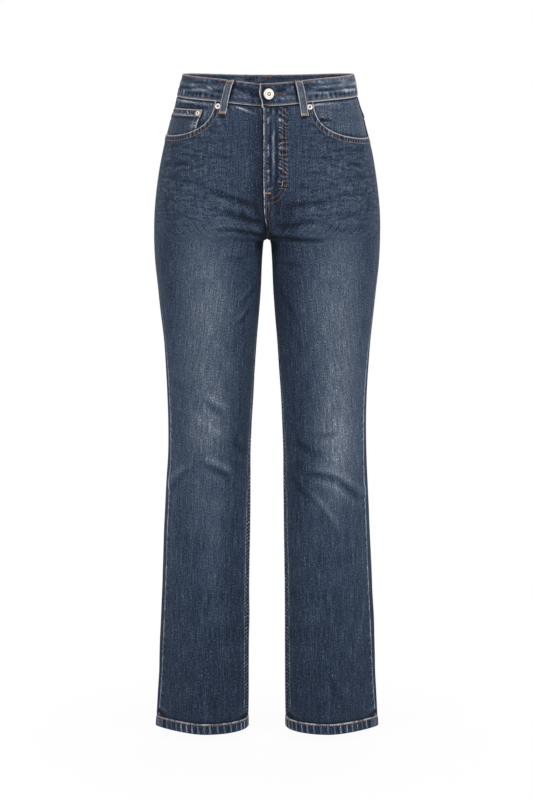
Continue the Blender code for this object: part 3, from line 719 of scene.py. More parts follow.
def tapeMaterial():
    # herringbone zip tape
    desk = NodeDesk("Zip tape")
    uv, across, along = desk.cloth()
    fold = desk.math("ABSOLUTE", desk.math("SUBTRACT", desk.math("MODULO", across, 6.0), 3.0))
    rib = desk.math("SINE", desk.times(desk.total(along, fold), 2 * math.pi / 1.4))
    grain = desk.noise(uv, (1.2, 1.2), 2)
    value = desk.total(0.5, desk.times(rib, 0.12), desk.times(grain, 0.3))
    stops = [(0.0, (24, 30, 44)), (1.0, (62, 72, 92))]
    return desk.finish(desk.ramp(value, stops), 0.8, desk.times(rib, 0.1), 0.1)


def metalMaterial(name, stops, roughness):
    # worn nickel, rubbed pale on what stands up; where "hollow" is 1 it is dark: painted shade in the
    # grooves, under the rim and down the shank, with the grime such hollows keep
    desk = NodeDesk(name)
    place = desk.node("TexCoord").outputs["Object"]
    scuffs = desk.noise(place, (0.0009, 0.0009), 4, 0.7)
    patches = desk.noise(place, (0.004, 0.004), 3)
    value = desk.total(
        0.22,
        desk.times(desk.attribute("hollow"), 0.62),
        desk.times(scuffs, 0.35),
        desk.times(patches, 0.3),
    )
    rough = desk.total(roughness, desk.times(scuffs, 0.25))
    return desk.finish(desk.ramp(value, stops), rough, desk.times(scuffs, 0.12), 0, 0.85)


# the side seam's tones darken the cloth beside it with painted shade, and its ridge is rubbed pale
legSeams = (
    {"edge": "sideSeam", "from": -1, "to": 11.5, "pitch": 40, "contrast": 0.02, "tone": -0.15,
     "ridge": 11.6, "ridgeWidth": 2.6, "ridgePale": 0.54},
    {"edge": "sideSeam", "from": 13.6, "to": 22, "pitch": 13.5, "contrast": 0.28, "slant": 0.9,
     "tone": -0.08, "relief": 0.5, "drift": 1.4},
    {"edge": "innerSeam", "from": -1, "to": 9.0, "pitch": 6.0, "contrast": 0.62, "slant": 0.4,
     "tone": -0.08, "relief": 0.6, "drift": 0.9, "ridge": 9.4, "ridgeWidth": 2.8, "ridgePale": 0.46},
)
riseSeam = {"edge": "riseSeam", "from": 2.0, "to": 11.0, "pitch": 7.5, "contrast": 0.14,
            "edgeWear": 0.4, "edgeWidth": 1.8}
mouthSeam = {"edge": "mouthEdge", "runs": "across", "from": 2.2, "to": 11.5, "pitch": 6.2,
             "contrast": 0.3, "tone": -0.05, "relief": 0.4, "drift": 3.0, "edgeWear": 1.0,
             "edgeWidth": 2.7}
flySeam = {"edge": "flyEdge", "from": 4.4, "to": 9.0, "pitch": 7.0, "contrast": 0.14,
           "edgeWear": 0.8, "edgeWidth": 2.6}
jSeam = {"edge": "facingEdge", "from": -5.0, "to": 11.0, "pitch": 7.0, "contrast": 0.4,
         "drift": 4.0, "slant": 0.3, "tone": -0.05}
bandSeams = (
    {"edge": "bandFoot", "runs": "across", "from": 3.0, "to": 12.0, "pitch": 9.0, "contrast": 0.1,
     "tone": 0.02, "drift": 1.6, "edgeWear": 1.05, "edgeWidth": 1.45},
    {"edge": "bandHead", "runs": "across", "from": 3.0, "to": 8.0, "pitch": 8.5, "contrast": 0.1,
     "relief": 0.2, "drift": 3.0, "edgeWear": 0.8, "edgeWidth": 1.5},
    {"edge": "bandEnd", "from": 3.6, "to": 9.0, "pitch": 6.0, "contrast": 0.1, "relief": 0.2,
     "tone": -0.22, "edgeWear": 1.3, "edgeWidth": 2.2},
)
hemSeams = (
    {"edge": "hemFoot", "runs": "across", "from": 0.4, "to": 20.0, "pitch": 12.7, "contrast": 0.05,
     "slant": 0.12, "drift": 1.0, "relief": 0.2, "edgeWear": 0.1, "edgeWidth": 1.2},
)
coinSeams = (
    {"edge": "patchSide", "from": 2.6, "to": 9.0, "pitch": 5.6, "contrast": 0.24, "drift": 3.0,
     "edgeWear": 0.9, "edgeWidth": 1.9},
    {"edge": "patchEdge", "runs": "across", "from": 2.6, "to": 8.4, "pitch": 5.2, "tone": -0.26,
     "contrast": 0.66, "relief": 0.5, "drift": 3.0, "edgeWear": 1.1, "edgeWidth": 2.2},
)
patchSeams = (
    {"edge": "patchEdge", "runs": "across", "from": 2.2, "to": 9.0, "pitch": 6.5, "contrast": 0.14,
     "drift": 3.0, "edgeWear": 0.55, "edgeWidth": 2.0},
)
loopSeams = (
    {"edge": "loopEdge", "from": 1.6, "to": 3.4, "pitch": 5.0, "contrast": 0.16, "tone": -0.16,
     "relief": 0.2, "edgeWear": 0.8, "edgeWidth": 1.5},
)

frontDenim = denimMaterial("Front denim", (*legSeams, mouthSeam, flySeam, jSeam))
backDenim = denimMaterial("Back denim", (*legSeams, riseSeam))
yokeDenim = denimMaterial("Yoke denim", (legSeams[0], *patchSeams))
facingDenim = denimMaterial("Facing denim", shade=0.465, clouds=0.36, grain=1.6)
bandDenim = denimMaterial("Band denim", bandSeams, shade=0.495, clouds=0.3, streaks=0.15)
hemDenim = denimMaterial("Hem denim", hemSeams, shade=0.35)
patchDenim = denimMaterial("Patch denim", patchSeams, shade=0.46)
coinDenim = denimMaterial("Coin pocket denim", coinSeams, shade=0.44, grain=1.6, streaks=1.0)
loopDenim = denimMaterial("Loop denim", loopSeams, shade=0.52, threads=0.16)
wrongSide = wrongSideMaterial()
cotton = cottonMaterial()
zipTape = tapeMaterial()
copperThread = threadMaterial("Copper thread", (140, 92, 58), (224, 168, 122))
brownThread = threadMaterial("Brown thread", (98, 70, 56), (164, 126, 100))
tackThread = threadMaterial("Bartack thread", (176, 126, 84), (238, 192, 142))
mouthThread = threadMaterial("Faded thread", (128, 92, 68), (206, 164, 130))
holeThread = threadMaterial("Buttonhole thread", (56, 46, 46), (118, 98, 92))
buttonMetal = metalMaterial(
    "Worn nickel", [(0.0, (228, 219, 213)), (0.45, (186, 175, 169)), (1.0, (84, 73, 68))], 0.45
)
print("materials ready")


# Creases, in x and z as seen from in front
frontCreases = [
    # shade under the feet of the front belt loops
    ((-75, -54.6, -61.5, -57.8), 1.2, 0.0, 0.9, 0.0),
    ((49, -59.8, 64, -56.6), 1.4, 0.0, 0.9, 0.0),
    # whiskers over the right hip
    ((-160, -100, -136, -98, -110, -102), 2.6, 0.7, 0.18, 0.14),
    ((-89, -113, -75, -116, -61, -119, -49, -122), 3.2, 1.0, 0.19, 0.1),
    ((-162, -127, -138, -125, -115, -128, -92, -134), 3.6, 1.2, 0.22, 0.12, (0.1, 0.5)),
    ((-162, -137, -143, -146, -115, -152, -87, -156), 3.6, 1.0, 0.17, 0.1),
    ((-78, -91, -66, -94, -55, -95), 3, 0.6, 0.1),
    ((-158, -177, -146, -179, -134, -181), 3.4, 0.6, 0.11),
    ((-164, -199, -144, -203, -120, -204), 4.5, 0.7, 0.09),
    ((-128, -112, -112, -116, -98, -116), 3, 0.5, 0.09),
    # drag lines from the fly and the crotch, right leg
    ((-108, -165, -77, -171, -52, -179, -25, -188, -6, -192),
     4.4, 2.0, 0.28, 0.1, (0.4, 0.25), (0.4, 0.8)),
    ((-90, -196, -62, -200, -38, -208, -7, -215), 4.4, 2.3, 0.3, 0.1, (0.4, 0.08), (0.4, 0.8)),
    ((-90, -226, -55, -226, -28, -230, -5, -234), 3.0, 1.9, 0.34, 0.1, (0.45, 0.06), (0.6, 0.7)),
    ((-46, -190, -36, -202, -30, -216), 4, 1.0, 0.1, 0.12, (0.35, 0.35), (0.8, 0.2)),
    # small pale pulls beside the fly's facing
    ((19, -98, 19.4, -105, 19.6, -112), 1.7, -0.5, -0.3, -0.04),
    ((18.6, -147, 18.6, -152, 18.2, -157), 1.6, -0.5, -0.28, -0.04),
    # where the fly's facing is turned in and bunches
    ((-3, -139, 1, -138.5, 7, -139), 1.5, -0.5, -0.36, -0.1),
    ((-3, -154.5, 0, -155, 4, -155), 1.5, -0.5, -0.36, -0.1),
    ((-1.6, -165.5, 4.4, -164, 11.9, -161), 1.7, -0.7, -0.4, -0.16),
    ((14, -154.5, 19, -151, 23, -149), 1.9, -0.7, -0.44, -0.16),
    # pulls from the waist seam
    ((-48, -42, -36, -46, -24, -51, -10, -56), 1.7, -0.7, -0.62, -0.12, (0.1, 0.6)),
    ((-55, -41, -51, -46, -48, -50), 1.3, -0.4, -0.34, -0.08, (0.1, 0.6)),
    ((-76, -53, -74, -60, -70, -69, -67, -77), 3.2, -0.9, -0.22, -0.06, (0.1, 0.6)),
    ((61, -55, 66, -64, 69, -73), 3.0, -0.8, -0.18, -0.05, (0.1, 0.6)),
    # whiskers over the left hip
    ((55, -122, 80, -119, 105, -122), 3.4, 0.9, 0.16, 0.08),
    ((93, -104, 126, -106, 156, -102), 3.0, 0.9, 0.18, 0.12, (0.3, 0.2)),
    ((111, -131, 129, -128, 154, -128), 3.2, 0.9, 0.17, 0.1),
    ((56, -144, 76, -142, 97, -140), 4, 0.8, 0.12),
    ((101, -149, 126, -148, 164, -143), 3.8, 1.0, 0.16, 0.08),
    ((46, -160, 56, -162, 67, -163), 3.4, 0.8, 0.12),
    ((101, -170, 126, -173, 162, -166), 4, 1.0, 0.15, 0.08),
    # drag lines, left leg
    ((20, -193, 43, -190, 65, -186, 105, -184), 4.6, 1.9, 0.27, 0.1, (0.2, 0.4), (0.4, 0.7)),
    ((82, -202, 118, -204, 156, -198), 3.8, 0.9, 0.14),
    ((12, -220, 35, -220, 58, -215, 90, -213), 4.2, 2.0, 0.27, 0.1, (0.1, 0.4), (0.4, 0.8)),
    ((78, -220, 118, -226, 160, -220), 4.2, 0.9, 0.13),
    ((4, -235, 28, -238, 51, -241, 98, -242), 3.2, 1.8, 0.32, 0.12, (0.06, 0.4), (0.6, 0.7)),
    # short pulls down the inner thighs
    ((-17, -312, -28, -325, -41, -342), 3.4, 1.2, 0.15, 0.16, (0.35, 0.35), (0.9, 0.4)),
    ((-24, -342, -33, -356, -46, -372), 3.2, 1.4, 0.22, 0.18, (0.35, 0.35), (1.0, 0.3)),
    ((20, -315, 31, -338, 44, -364), 4, 1.1, 0.12, 0.1),
    ((18, -268, 34, -278, 58, -282), 5, 1.0, 0.1),
    ((-20, -262, -44, -270, -70, -268), 5, 1.0, 0.1),
    # right knee
    ((-104, -480, -84, -497, -62, -512), 5.6, 2.6, 0.18, 0.15, (0.4, 0.3), (0.9, 0.5)),
    ((-126, -490, -102, -516, -79, -534, -57, -549), 6.7, -1.8, -0.11, -0.03, (0.3, 0.3)),
    ((-152, -636, -138, -612, -124, -598, -108, -590),
     4.3, 1.8, 0.11, 0.18, (0.2, 0.4), (1.0, 0.1)),
    ((-108, -584, -88, -590, -70, -600, -52, -612), 5.2, 2.8, 0.2, 0.18, (0.4, 0.3), (1.1, 0.3)),
    ((-55, -546, -44, -562, -31, -578), 4.5, 1.2, 0.12),
    ((-150, -454, -136, -464, -122, -475), 5.6, 1.0, 0.07),
    ((-148, -500, -138, -530, -130, -560), 10.1, 1.2, 0.06, 0.05, (0.35, 0.35), (0.5, 0.4)),
    # left knee
    ((68, -538, 90, -541, 112, -536), 4.3, 1.2, 0.15, 0.09),
    ((36, -544, 59, -563, 92, -576), 5.6, 2.0, 0.17, 0.06, (0.35, 0.35), (0.5, 0.8)),
    ((56, -603, 82, -604, 106, -610, 129, -628, 152, -650),
     5.2, 3.0, 0.21, 0.15, (0.2, 0.15), (0.9, 0.8)),
    ((98, -564, 104, -578, 108, -596), 6.7, -1.4, -0.11, 0),
    ((31, -594, 50, -626, 68, -644), 4.5, 1.6, 0.15),
    ((58, -624, 80, -641, 98, -665, 122, -700), 4.9, -2.0, -0.17, -0.08, (0.25, 0.5), (0.3, 1.0)),
    # slack in the calves
    ((-146, -700, -116, -716, -80, -722), 12, 1.1, 0.05),
    ((60, -730, 96, -738, 140, -722), 12, 1.0, 0.05),
    ((158, -770, 146, -842, 138, -896), 3.6, -1.0, -0.13, -0.08),
    ((-84, -630, -85, -720, -86, -820), 13, -1.2, -0.1, -0.08, (0.3, 0.4)),
    ((-134, -634, -134, -690, -131, -745), 6, 0.9, 0.09),
    ((-100, -934, -90, -950, -78, -972), 5, 1.2, 0.14),
    ((95, -918, 107, -942, 118, -966), 5, 1.2, 0.13),
    ((-76, -840, -90, -890, -84, -920), 14, 1.4, 0.05),
    ((96, -800, 90, -850, 98, -900), 14, 1.3, 0.05),
    # where the seams run into the hems: deep folds whose dark is a painted shadow
    ((-176, -985, -170, -989, -160, -994.5), 2.7, 1.2, 1.3, 0.4, (0.05, 0.25)),
    ((-30, -985, -34, -990, -43, -994.5), 2.7, 1.2, 1.2, 0.34, (0.05, 0.25)),
    ((30, -985, 35, -990, 44, -994.5), 2.7, 1.2, 1.2, 0.34, (0.05, 0.25)),
    ((178, -985, 172, -989, 161, -994.5), 2.7, 1.2, 1.3, 0.4, (0.05, 0.25)),
]

# the same cloth behind: drag lines below the crotch and folds behind the knees
backCreases = [
    ((-120, -226, -85, -236, -50, -240, -18, -236), 7, 2.6, 0.18, 0.05, (0.35, 0.35), (0.5, 0.6)),
    ((18, -234, 52, -240, 88, -234, 124, -222), 7, 2.4, 0.18, 0.05, (0.35, 0.35), (0.5, 0.6)),
    ((-100, -262, -66, -268, -30, -262, -12, -252), 6, 2.0, 0.15),
    ((14, -252, 40, -264, 72, -267, 104, -258), 6, 1.9, 0.15),
    ((-84, -288, -56, -292, -24, -284), 6, 1.2, 0.1),
    ((26, -284, 52, -294, 90, -290), 6, 1.2, 0.1),
    ((-152, -176, -122, -190, -96, -196), 7, 1.0, 0.08),
    ((100, -198, 126, -190, 156, -172), 7, 1.0, 0.08),
    ((-142, -520, -112, -534, -80, -536, -50, -524), 8, 3.0, 0.14, 0.08, (0.35, 0.35), (0.6, 0.7)),
    ((48, -526, 80, -540, 114, -536, 146, -518), 8, 2.8, 0.14, 0.08, (0.35, 0.35), (0.6, 0.7)),
    ((-136, -566, -104, -560, -66, -568), 7, 2.4, 0.12, 0.08, (0.35, 0.35), (0.7, 0.5)),
    ((58, -572, 94, -562, 138, -572), 7, 2.3, 0.12, 0.08, (0.35, 0.35), (0.7, 0.5)),
    ((-128, -486, -98, -494, -62, -484), 8, 1.8, 0.1),
    ((60, -488, 96, -500, 134, -490), 8, 1.8, 0.1),
    ((-130, -612, -96, -622, -58, -612), 9, 1.6, 0.08),
    ((62, -618, 98, -608, 138, -622), 9, 1.5, 0.08),
    ((-120, -700, -104, -790, -112, -880), 18, 1.5, 0.05),
    ((108, -720, 118, -800, 106, -900), 18, 1.5, 0.05),
]

# Wash and painted shade, as soft patches: x, z, half width, half height, and the change of shade
# there.
# The pale patches are worn thighs and knees, partly painted light, and the dark ones down the
# sides of the legs and round the crotch are painted shade.
frontWashAndShade = [
    (-92, -330, 42, 130, 0.2),
    (-88, -500, 30, 60, 0.13),
    (-96, -548, 26, 34, 0.12),
    (-92, -640, 34, 50, 0.07),
    (-28, -380, 24, 170, -0.17),
    (-40, -560, 22, 90, -0.12),
    (-152, -330, 20, 150, -0.15),
    (110, -340, 40, 130, 0.2),
    (112, -510, 28, 70, 0.19),
    (112, -575, 28, 44, 0.18),
    (100, -640, 26, 34, 0.12),
    (26, -340, 26, 150, -0.195),
    (52, -520, 26, 110, -0.15),
    (48, -620, 20, 60, -0.1),
    (155, -330, 18, 140, -0.11),
    (84, -520, 22, 34, 0.08),
    (-160, -330, 12, 110, -0.05),
    (24, -330, 16, 60, -0.05),
    (30, -206, 24, 34, -0.12),
    (108, -140, 46, 24, 0.05),
    (-24, -196, 22, 30, -0.1),
    (4, -246, 20, 20, -0.16),
    (-9, -246, 7, 12, -0.3),
    (9, -246, 7, 12, -0.3),
    (9.5, -215, 2.0, 22, 0.1),
    (-54, -760, 12, 150, -0.07),
    (60, -740, 40, 90, -0.03),
]
# behind, the dark patches at the crotch, down the inner thighs and behind the knees are painted shade
backWashAndShade = [(-96, -700, 40, 90, 0.04), (98, -700, 40, 90, 0.04), (0, -230, 26, 40, -0.12)]
for side in (-1, 1):
    backWashAndShade += [
        (side * 96, -190, 48, 60, 0.14),
        (side * 90, -340, 40, 90, 0.1),
        (side * 24, -360, 24, 150, -0.12),
        (side * 94, -548, 36, 34, -0.06),
    ]
# how faded the jeans are by height, all round
washByHeight = np.array([
    (-1020, -0.18), (-940, -0.18), (-880, -0.15), (-740, -0.05), (-620, 0.0), (-500, 0.04),
    (-380, 0.04), (-280, 0.0), (-200, -0.045), (-120, -0.065), (-60, -0.05), (40, 0.03),
])


# the wash by height, with the patches' wash and painted shade on top
def washAndShade(x, z, patches):
    shade = np.interp(z, washByHeight[:, 0], washByHeight[:, 1])
    for patchX, patchZ, halfWidth, halfHeight, amount in patches:
        shade += amount * bump(x, patchX, halfWidth) * bump(z, patchZ, halfHeight)
    return shade


def slackRelief(points):
    # the uneven hang of the whole piece, alike on both sides of a seam
    x, y, z = points[..., 0], points[..., 1], points[..., 2]
    turn = x + 0.8 * y
    return 0.9 * softNoise(turn / 46 + 7, z / 96, 3) + 0.4 * softNoise(turn / 19, z / 44, 8)


# Panels: rows run up the leg, and columns from the fly or inseam round to the side seam

edgeSteps = np.array([0, 0.5, 1.1, 1.9, 3.0, 4.6, 6.8])
edgeReach = 9.6  # past this the columns of a front or back are evenly spread
farOff = 1000.0  # for a distance from an edge that isn't there
innerColumns = 48  # between a front's edge and its pocket mouth
panelBase = -116
legRows = np.concatenate([
    hemTop + edgeSteps[:5],
    np.arange(hemTop + 4.5, hemTop + 24, 1.5),
    np.arange(hemTop + 24, -268, 3.1),
    np.arange(-268, -226, 1.2),
    np.arange(-226, panelBase, 2.2),
])
closingRows = np.array([
    22, 19, 16.5, 14.4, 12.8, 11.6, 10.4, 9.2, 7.8, 6.4, 5, 3.8, 2.8, 2, 1.3, 0.8, 0.4, 0
])

pocketMouths = {
    "Left": {"start": 69.5, "depth": 62},
    "Right": {"start": 80.5, "depth": 58},
}
mouthPower = 2.8


def panelRows(top, middle=26):
    # heights of the rows: level ones first, then rows that close up to the top edge
    columns = len(top)
    level = np.repeat(legRows[:, None], columns, axis=1)
    last = top - closingRows[0]
    steps = np.linspace(0, 1, middle + 1)[:-1, None]
    between = panelBase + steps * (last - panelBase)
    return np.concatenate([level, between, top - closingRows[:, None]])


def mouthTop(sideName, fractions):
    # top edge of a front panel: the waist seam, then the scooped pocket mouth
    mouth = pocketMouths[sideName]
    start = float(frontStart(frontLevel, sides[sideName]))
    arc = start + fractions * (frontEnd - start)
    along = np.clip((arc - mouth["start"]) / (frontEnd - mouth["start"]), 0, 1)
    return frontSeam(arc) - mouth["depth"] * (1 - (1 - along) ** mouthPower) ** (1 / mouthPower)


def frontFractions(sideName):
    first, start = pocketMouths[sideName]["start"], float(frontStart(frontLevel, sides[sideName]))
    inner = np.linspace(start + edgeReach, first, innerColumns)
    turn = np.linspace(0, math.pi / 2, 46)
    outer = first + (frontEnd - edgeReach - first) * (1 - np.cos(turn))
    arcs = np.concatenate([start + edgeSteps, inner, outer[1:], frontEnd - edgeSteps[::-1]])
    return (arcs - start) / (frontEnd - start), len(edgeSteps) + innerColumns - 1


def mouthAt(sideName, arcs):
    # height of the front's top edge over arcs of the waist seam
    fractions, _ = frontFractions(sideName)
    start = float(frontStart(frontLevel, sides[sideName]))
    return np.interp(arcs, start + fractions * (frontEnd - start), mouthTop(sideName, fractions))


def pathDistance(x, z, pathX, pathZ):
    a = np.stack([pathX[:-1], pathZ[:-1]], axis=-1)
    step = np.stack([pathX[1:], pathZ[1:]], axis=-1) - a
    point = np.stack([x, z], axis=-1)[..., None, :] - a
    t = np.clip((point * step).sum(-1) / np.maximum((step**2).sum(-1), 1e-9), 0, 1)
    return np.linalg.norm(point - t[..., None] * step, axis=-1).min(axis=-1)


def seamRoll(distance, drop=1.1, width=1.8):
    # cloth turns in at a seam and swells a little beside it
    return -drop * fall(0, width, distance) + 0.35 * bump(distance, 4.2, 2.4)


# behind the fly's edge: the zip's tape shows as two pale ridges with a hollow between; the hollow and
# a fold beyond them are darkened with painted shade
flyLook = {"ridge": 0.9, "ridgeWidth": 5.5, "zip": 0.9, "zipAt": (8.3, 15.9), "zipWidths": (2.2, 3.0),
           "hollowAt": 11.0, "hollowWidth": 1.5, "darkAt": 19.6, "paleAt": 25.2, "facing": 0.5,
           "zipPale": (0.36, 0.4), "hollowDark": 0.46, "foldDark": 0.48, "foldPale": 0.25,
           "facingFoot": -168, "facingAt": 28}


def makeFront(sideName):
    side = sides[sideName]
    fractions, corner = frontFractions(sideName)
    heights = panelRows(mouthTop(sideName, fractions))
    start, end = frontStart(heights, side), sideArc(heights)
    arcs = start + fractions * (end - start)
    points, normals = surfaceAt(heights, arcs, side)
    x, z = points[..., 0], points[..., 2]
    fromInner, fromSide = arcs - start, end - arcs
    fromTop = heights[-1] - heights
    inLeg = heights < jeans["crotch"]
    body = smooth(-236, -226, heights)

    upper = heights > -150
    fromMouth = np.full(heights.shape, farOff)
    fromMouth[upper] = pathDistance(
        arcs[upper], heights[upper], arcs[-1, corner:], heights[-1, corner:]
    )
    fromWaist = np.where(np.arange(len(fractions)) < corner, fromTop, farOff)

    relief, fade = creaseRelief(x, z, frontCreases)
    hold = np.where(inLeg, smooth(0, 9, fromInner), smooth(0, 3, fromInner))
    hold = smooth(0, 14, fromSide) * hold
    relief = relief * hold * smooth(4, 14, fromMouth)
    relief += slackRelief(points) * smooth(2, 30, fromTop)
    relief += seamRoll(fromSide) - 0.5 * fall(0, 4, heights - hemTop)
    relief += np.where(inLeg, seamRoll(fromInner, 1.0, 1.6), 0)
    relief -= 0.9 * fall(0, 4.5, fromWaist)
    # the mouth's edge is folded under and stitched, so a strip beside it stands up
    relief += 0.75 * fall(9.4, 12, fromMouth) - 1.1 * fall(0, 1.2, fromMouth)
    flyEdge, facingEdge = (np.full(heights.shape, farOff) for _ in range(2))
    if side > 0:
        fly = smooth(-196, -184, heights)
        strip = fall(flyLook["ridgeWidth"], flyLook["ridgeWidth"] + 2.5, fromInner)
        bow = softNoise(z / 9, z / 9 + 3, 21) * 0.35
        ridgeAt = lambda place, width: bump(fromInner, place + 2 * bow, width)
        first, second = (ridgeAt(*ridge) for ridge in zip(flyLook["zipAt"], flyLook["zipWidths"]))
        hollow = ridgeAt(flyLook["hollowAt"], flyLook["hollowWidth"])
        beads = np.clip(0.7 + 2.6 * softNoise(z / 6 + 2, fromInner / 7, 22), 0, 1.6)
        patches = np.clip(0.9 + 1.2 * softNoise(z / 15, 0 * z + 1, 23), 0.3, 1.5)
        long = smooth(-150, -138, z) * fall(-52, -46, z)
        facing = fall(33, 37, fromInner)
        relief += flyLook["ridge"] * strip * smooth(-240, -228, heights)
        relief += fly * flyLook["facing"] * facing
        relief += fly * flyLook["zip"] * (0.8 + bow) * (first + second)
        relief -= 1.2 * fall(0, 0.9, fromInner) * body
        flyEdge = np.where(heights > jeans["riseTo"], fromInner, farOff)
        firstPale, secondPale = flyLook["zipPale"]
        fade += fly * firstPale * first * beads
        fade += fly * secondPale * second * patches * (0.3 + 0.7 * long)
        # painted shade in the hollow between the ridges and in the fold beyond them
        fade -= fly * flyLook["hollowDark"] * hollow * patches
        fade -= fly * flyLook["foldDark"] * ridgeAt(flyLook["darkAt"], 2.5) * patches
        mottle = np.clip(0.8 + 2.2 * softNoise(z / 5 + 9, fromInner / 5, 24), 0, 1.6)
        fade += fly * flyLook["foldPale"] * ridgeAt(flyLook["paleAt"], 3.0) * mottle * long
        fade -= fly * 0.06 * facing
        facingEdge = np.where(heights > flyLook["facingFoot"], fromInner - flyLook["facingAt"], farOff)
    else:
        # the cloth turns down under the lapped fly, and a painted shadow darkens it beside the edge
        relief -= 1.3 * fall(0, 3, fromInner) * body
        fade -= (0.48 * fall(0.3, 3.6, fromInner) + 0.24 * fall(3, 26, fromInner)) * body
    fade += washAndShade(x, z, frontWashAndShade)
    # a painted shadow under the waistband and along the top of the hem, and a little darker just past
    # the mouth's raised strip
    fade -= 0.48 * fall(1.4, 3.6, fromWaist) + 0.06 * bump(fromMouth, 13, 3)
    fade -= 0.26 * fall(1.4, 3.6, heights - hemTop) + 0.08 * fall(0, 9, heights - hemTop)

    points = points + relief[..., None] * normals
    crimp = smooth(-235, -200, heights) * smooth(0, 10, fromMouth)
    layers = {
        "fade": fade,
        "crimp": crimp * (0.25 + 0.75 * smooth(35, 85, fromInner)),
        "sideSeam": fromSide,
        "innerSeam": np.where(heights < jeans["inseamFrom"], fromInner, farOff),
        "mouthEdge": fromMouth,
        "flyEdge": flyEdge,
        "facingEdge": facingEdge,
    }
    return makeCloth(f"Front{sideName}", frontDenim, points, layers, heights, arcs, side)


yoke = {"sideHeight": 34, "drop": 30}  # its foot runs down towards the centre back


def yokeSeams(along):
    # heights of the waist seam and the yoke seam, from the side seam to the centre back
    seam = waistSeam((backFirst + along * (backLast - backFirst)) / halfLength(backLevel))
    return seam, seam - yoke["sideHeight"] - yoke["drop"] * along


def backFractions():
    middle = np.linspace(backFirst + edgeReach, backLast - edgeReach, 52)
    arcs = np.concatenate([backFirst + edgeSteps, middle, backLast - edgeSteps[::-1]])
    return (arcs - backFirst) / (backLast - backFirst)


def makeBack(sideName):
    side = sides[sideName]
    fractions = backFractions()
    heights = panelRows(yokeSeams(fractions)[1])
    start, end = sideArc(heights), backEnd(heights)
    arcs = start + fractions * (end - start)
    points, normals = surfaceAt(heights, arcs, side)
    x, z = points[..., 0], points[..., 2]
    fromSide, fromInner = arcs - start, end - arcs
    fromTop = heights[-1] - heights
    inLeg = heights < jeans["crotch"]

    relief, fade = creaseRelief(x, z, backCreases)
    hold = np.where(inLeg, smooth(0, 9, fromInner), smooth(0, 4, fromInner))
    hold = smooth(0, 14, fromSide) * hold
    relief = relief * hold + slackRelief(points) * smooth(2, 30, fromTop)
    relief += seamRoll(fromSide) - 0.5 * fall(0, 4, heights - hemTop)
    relief += seamRoll(fromInner, 1.0, 1.6) + seamRoll(fromTop, 0.9, 1.4)
    fade += washAndShade(x, z, backWashAndShade)
    # darker beside the rise seam, and a painted shadow under the yoke's raised foot
    fade -= 0.12 * bump(fromInner, 4, 4) + 0.1 * fall(0.5, 5, fromTop)

    points = points + relief[..., None] * normals
    layers = {
        "fade": fade,
        "crimp": 0.6 * smooth(-235, -200, heights),
        "sideSeam": fromSide,
        "innerSeam": np.where(heights < jeans["inseamFrom"], fromInner, farOff),
        "riseSeam": np.where(heights > jeans["riseTo"], fromInner, farOff),
    }
    return makeCloth(f"Back{sideName}", backDenim, points, layers, heights, arcs, side,
                     (start + end) / 2)


def makeYoke(sideName):
    side = sides[sideName]
    fractions = backFractions()
    top, bottom = yokeSeams(fractions)
    near = edgeSteps[:6] / 60
    steps = np.concatenate([near, np.linspace(0.12, 0.88, 13), 1 - near[::-1]])
    heights = bottom + steps[:, None] * (top - bottom)
    start, end = sideArc(heights), backEnd(heights)
    arcs = start + fractions * (end - start)
    points, normals = surfaceAt(heights, arcs, side)
    x, z = points[..., 0], points[..., 2]
    fromSide, fromInner = arcs - start, end - arcs
    fromFoot, fromTop = heights - bottom, top - heights

    # the yoke is felled over the back panel, so its foot stands up
    relief = slackRelief(points) * smooth(2, 26, fromTop) * 0.6 + seamRoll(fromSide)
    relief += seamRoll(fromInner, 1.0, 1.6) - 0.9 * fall(0, 4, fromTop)
    relief += 0.8 * fall(7, 9.5, fromFoot) - 1.0 * fall(0, 1.1, fromFoot)
    # over the wash, a painted shadow under the waistband
    fade = washAndShade(x, z, backWashAndShade) - 0.12 * fall(0, 7, fromTop)
    points = points + relief[..., None] * normals
    layers = {"fade": fade, "sideSeam": fromSide, "innerSeam": fromInner, "patchEdge": fromFoot}
    return makeCloth(f"Yoke{sideName}", yokeDenim, points, layers, heights, arcs,
                     side, (start + end) / 2)


fronts = {name: makeFront(name) for name in sides}
backs = {name: makeBack(name) for name in sides}
yokes = {name: makeYoke(name) for name in sides}
print("panels and yokes laid out")


# Folded strips: the waistband, hems and belt loops are tubes pressed flat


def stripProfile(height, wall, faceSteps, backSteps, turnSteps=5):
    # a rounded section: how far up, how far out, and whether it is the outer face
    radius = wall / 2
    turn = np.linspace(-math.pi / 2, math.pi / 2, turnSteps + 2)
    face = np.linspace(radius, height - radius, faceSteps)
    back = np.linspace(height - radius, radius, backSteps)
    up = [face, height - radius + radius * np.cos(turn[::-1][1:-1]), back,
          radius - radius * np.cos(turn[1:-1])]
    out = [0 * face + radius, radius * np.sin(turn[::-1][1:-1]), 0 * back - radius,
           radius * np.sin(turn[1:-1])]
    outer = [0 * face + 1, np.linspace(1, 0, turnSteps + 2)[1:-1], 0 * back,
             np.linspace(0, 1, turnSteps + 2)[1:-1]]
    return np.concatenate(up), np.concatenate(out), np.concatenate(outer)


band = {
    "wall": 2.6,
    "lift": 0.6,
    "lapEnd": -0.028,  # parts of the half ring from the centre front
    "underEnd": -0.1,
    "underFrom": 0.02,
    "underRamp": 0.09,
    "wave": 0.45,  # height of the soft wrinkles
    "levelFade": 0.3,
    "pucker": 0.6,
    "puckerFade": 0.42,
    "hollows": (-134, -128, -122, -116, -110, -102, -91, -81,
                72, 81, 95, 104, 114, 123, 135, 145, 158),  # arcs of the dark ones near its foot
    "hollowAt": 8,
    "hollowSize": (2.7, 3.2),
    "hollowShade": 0.46,
    "lapSwing": 3.6,  # how far the foot of the lapped end swings back
    "lapDrop": 2.9,
}


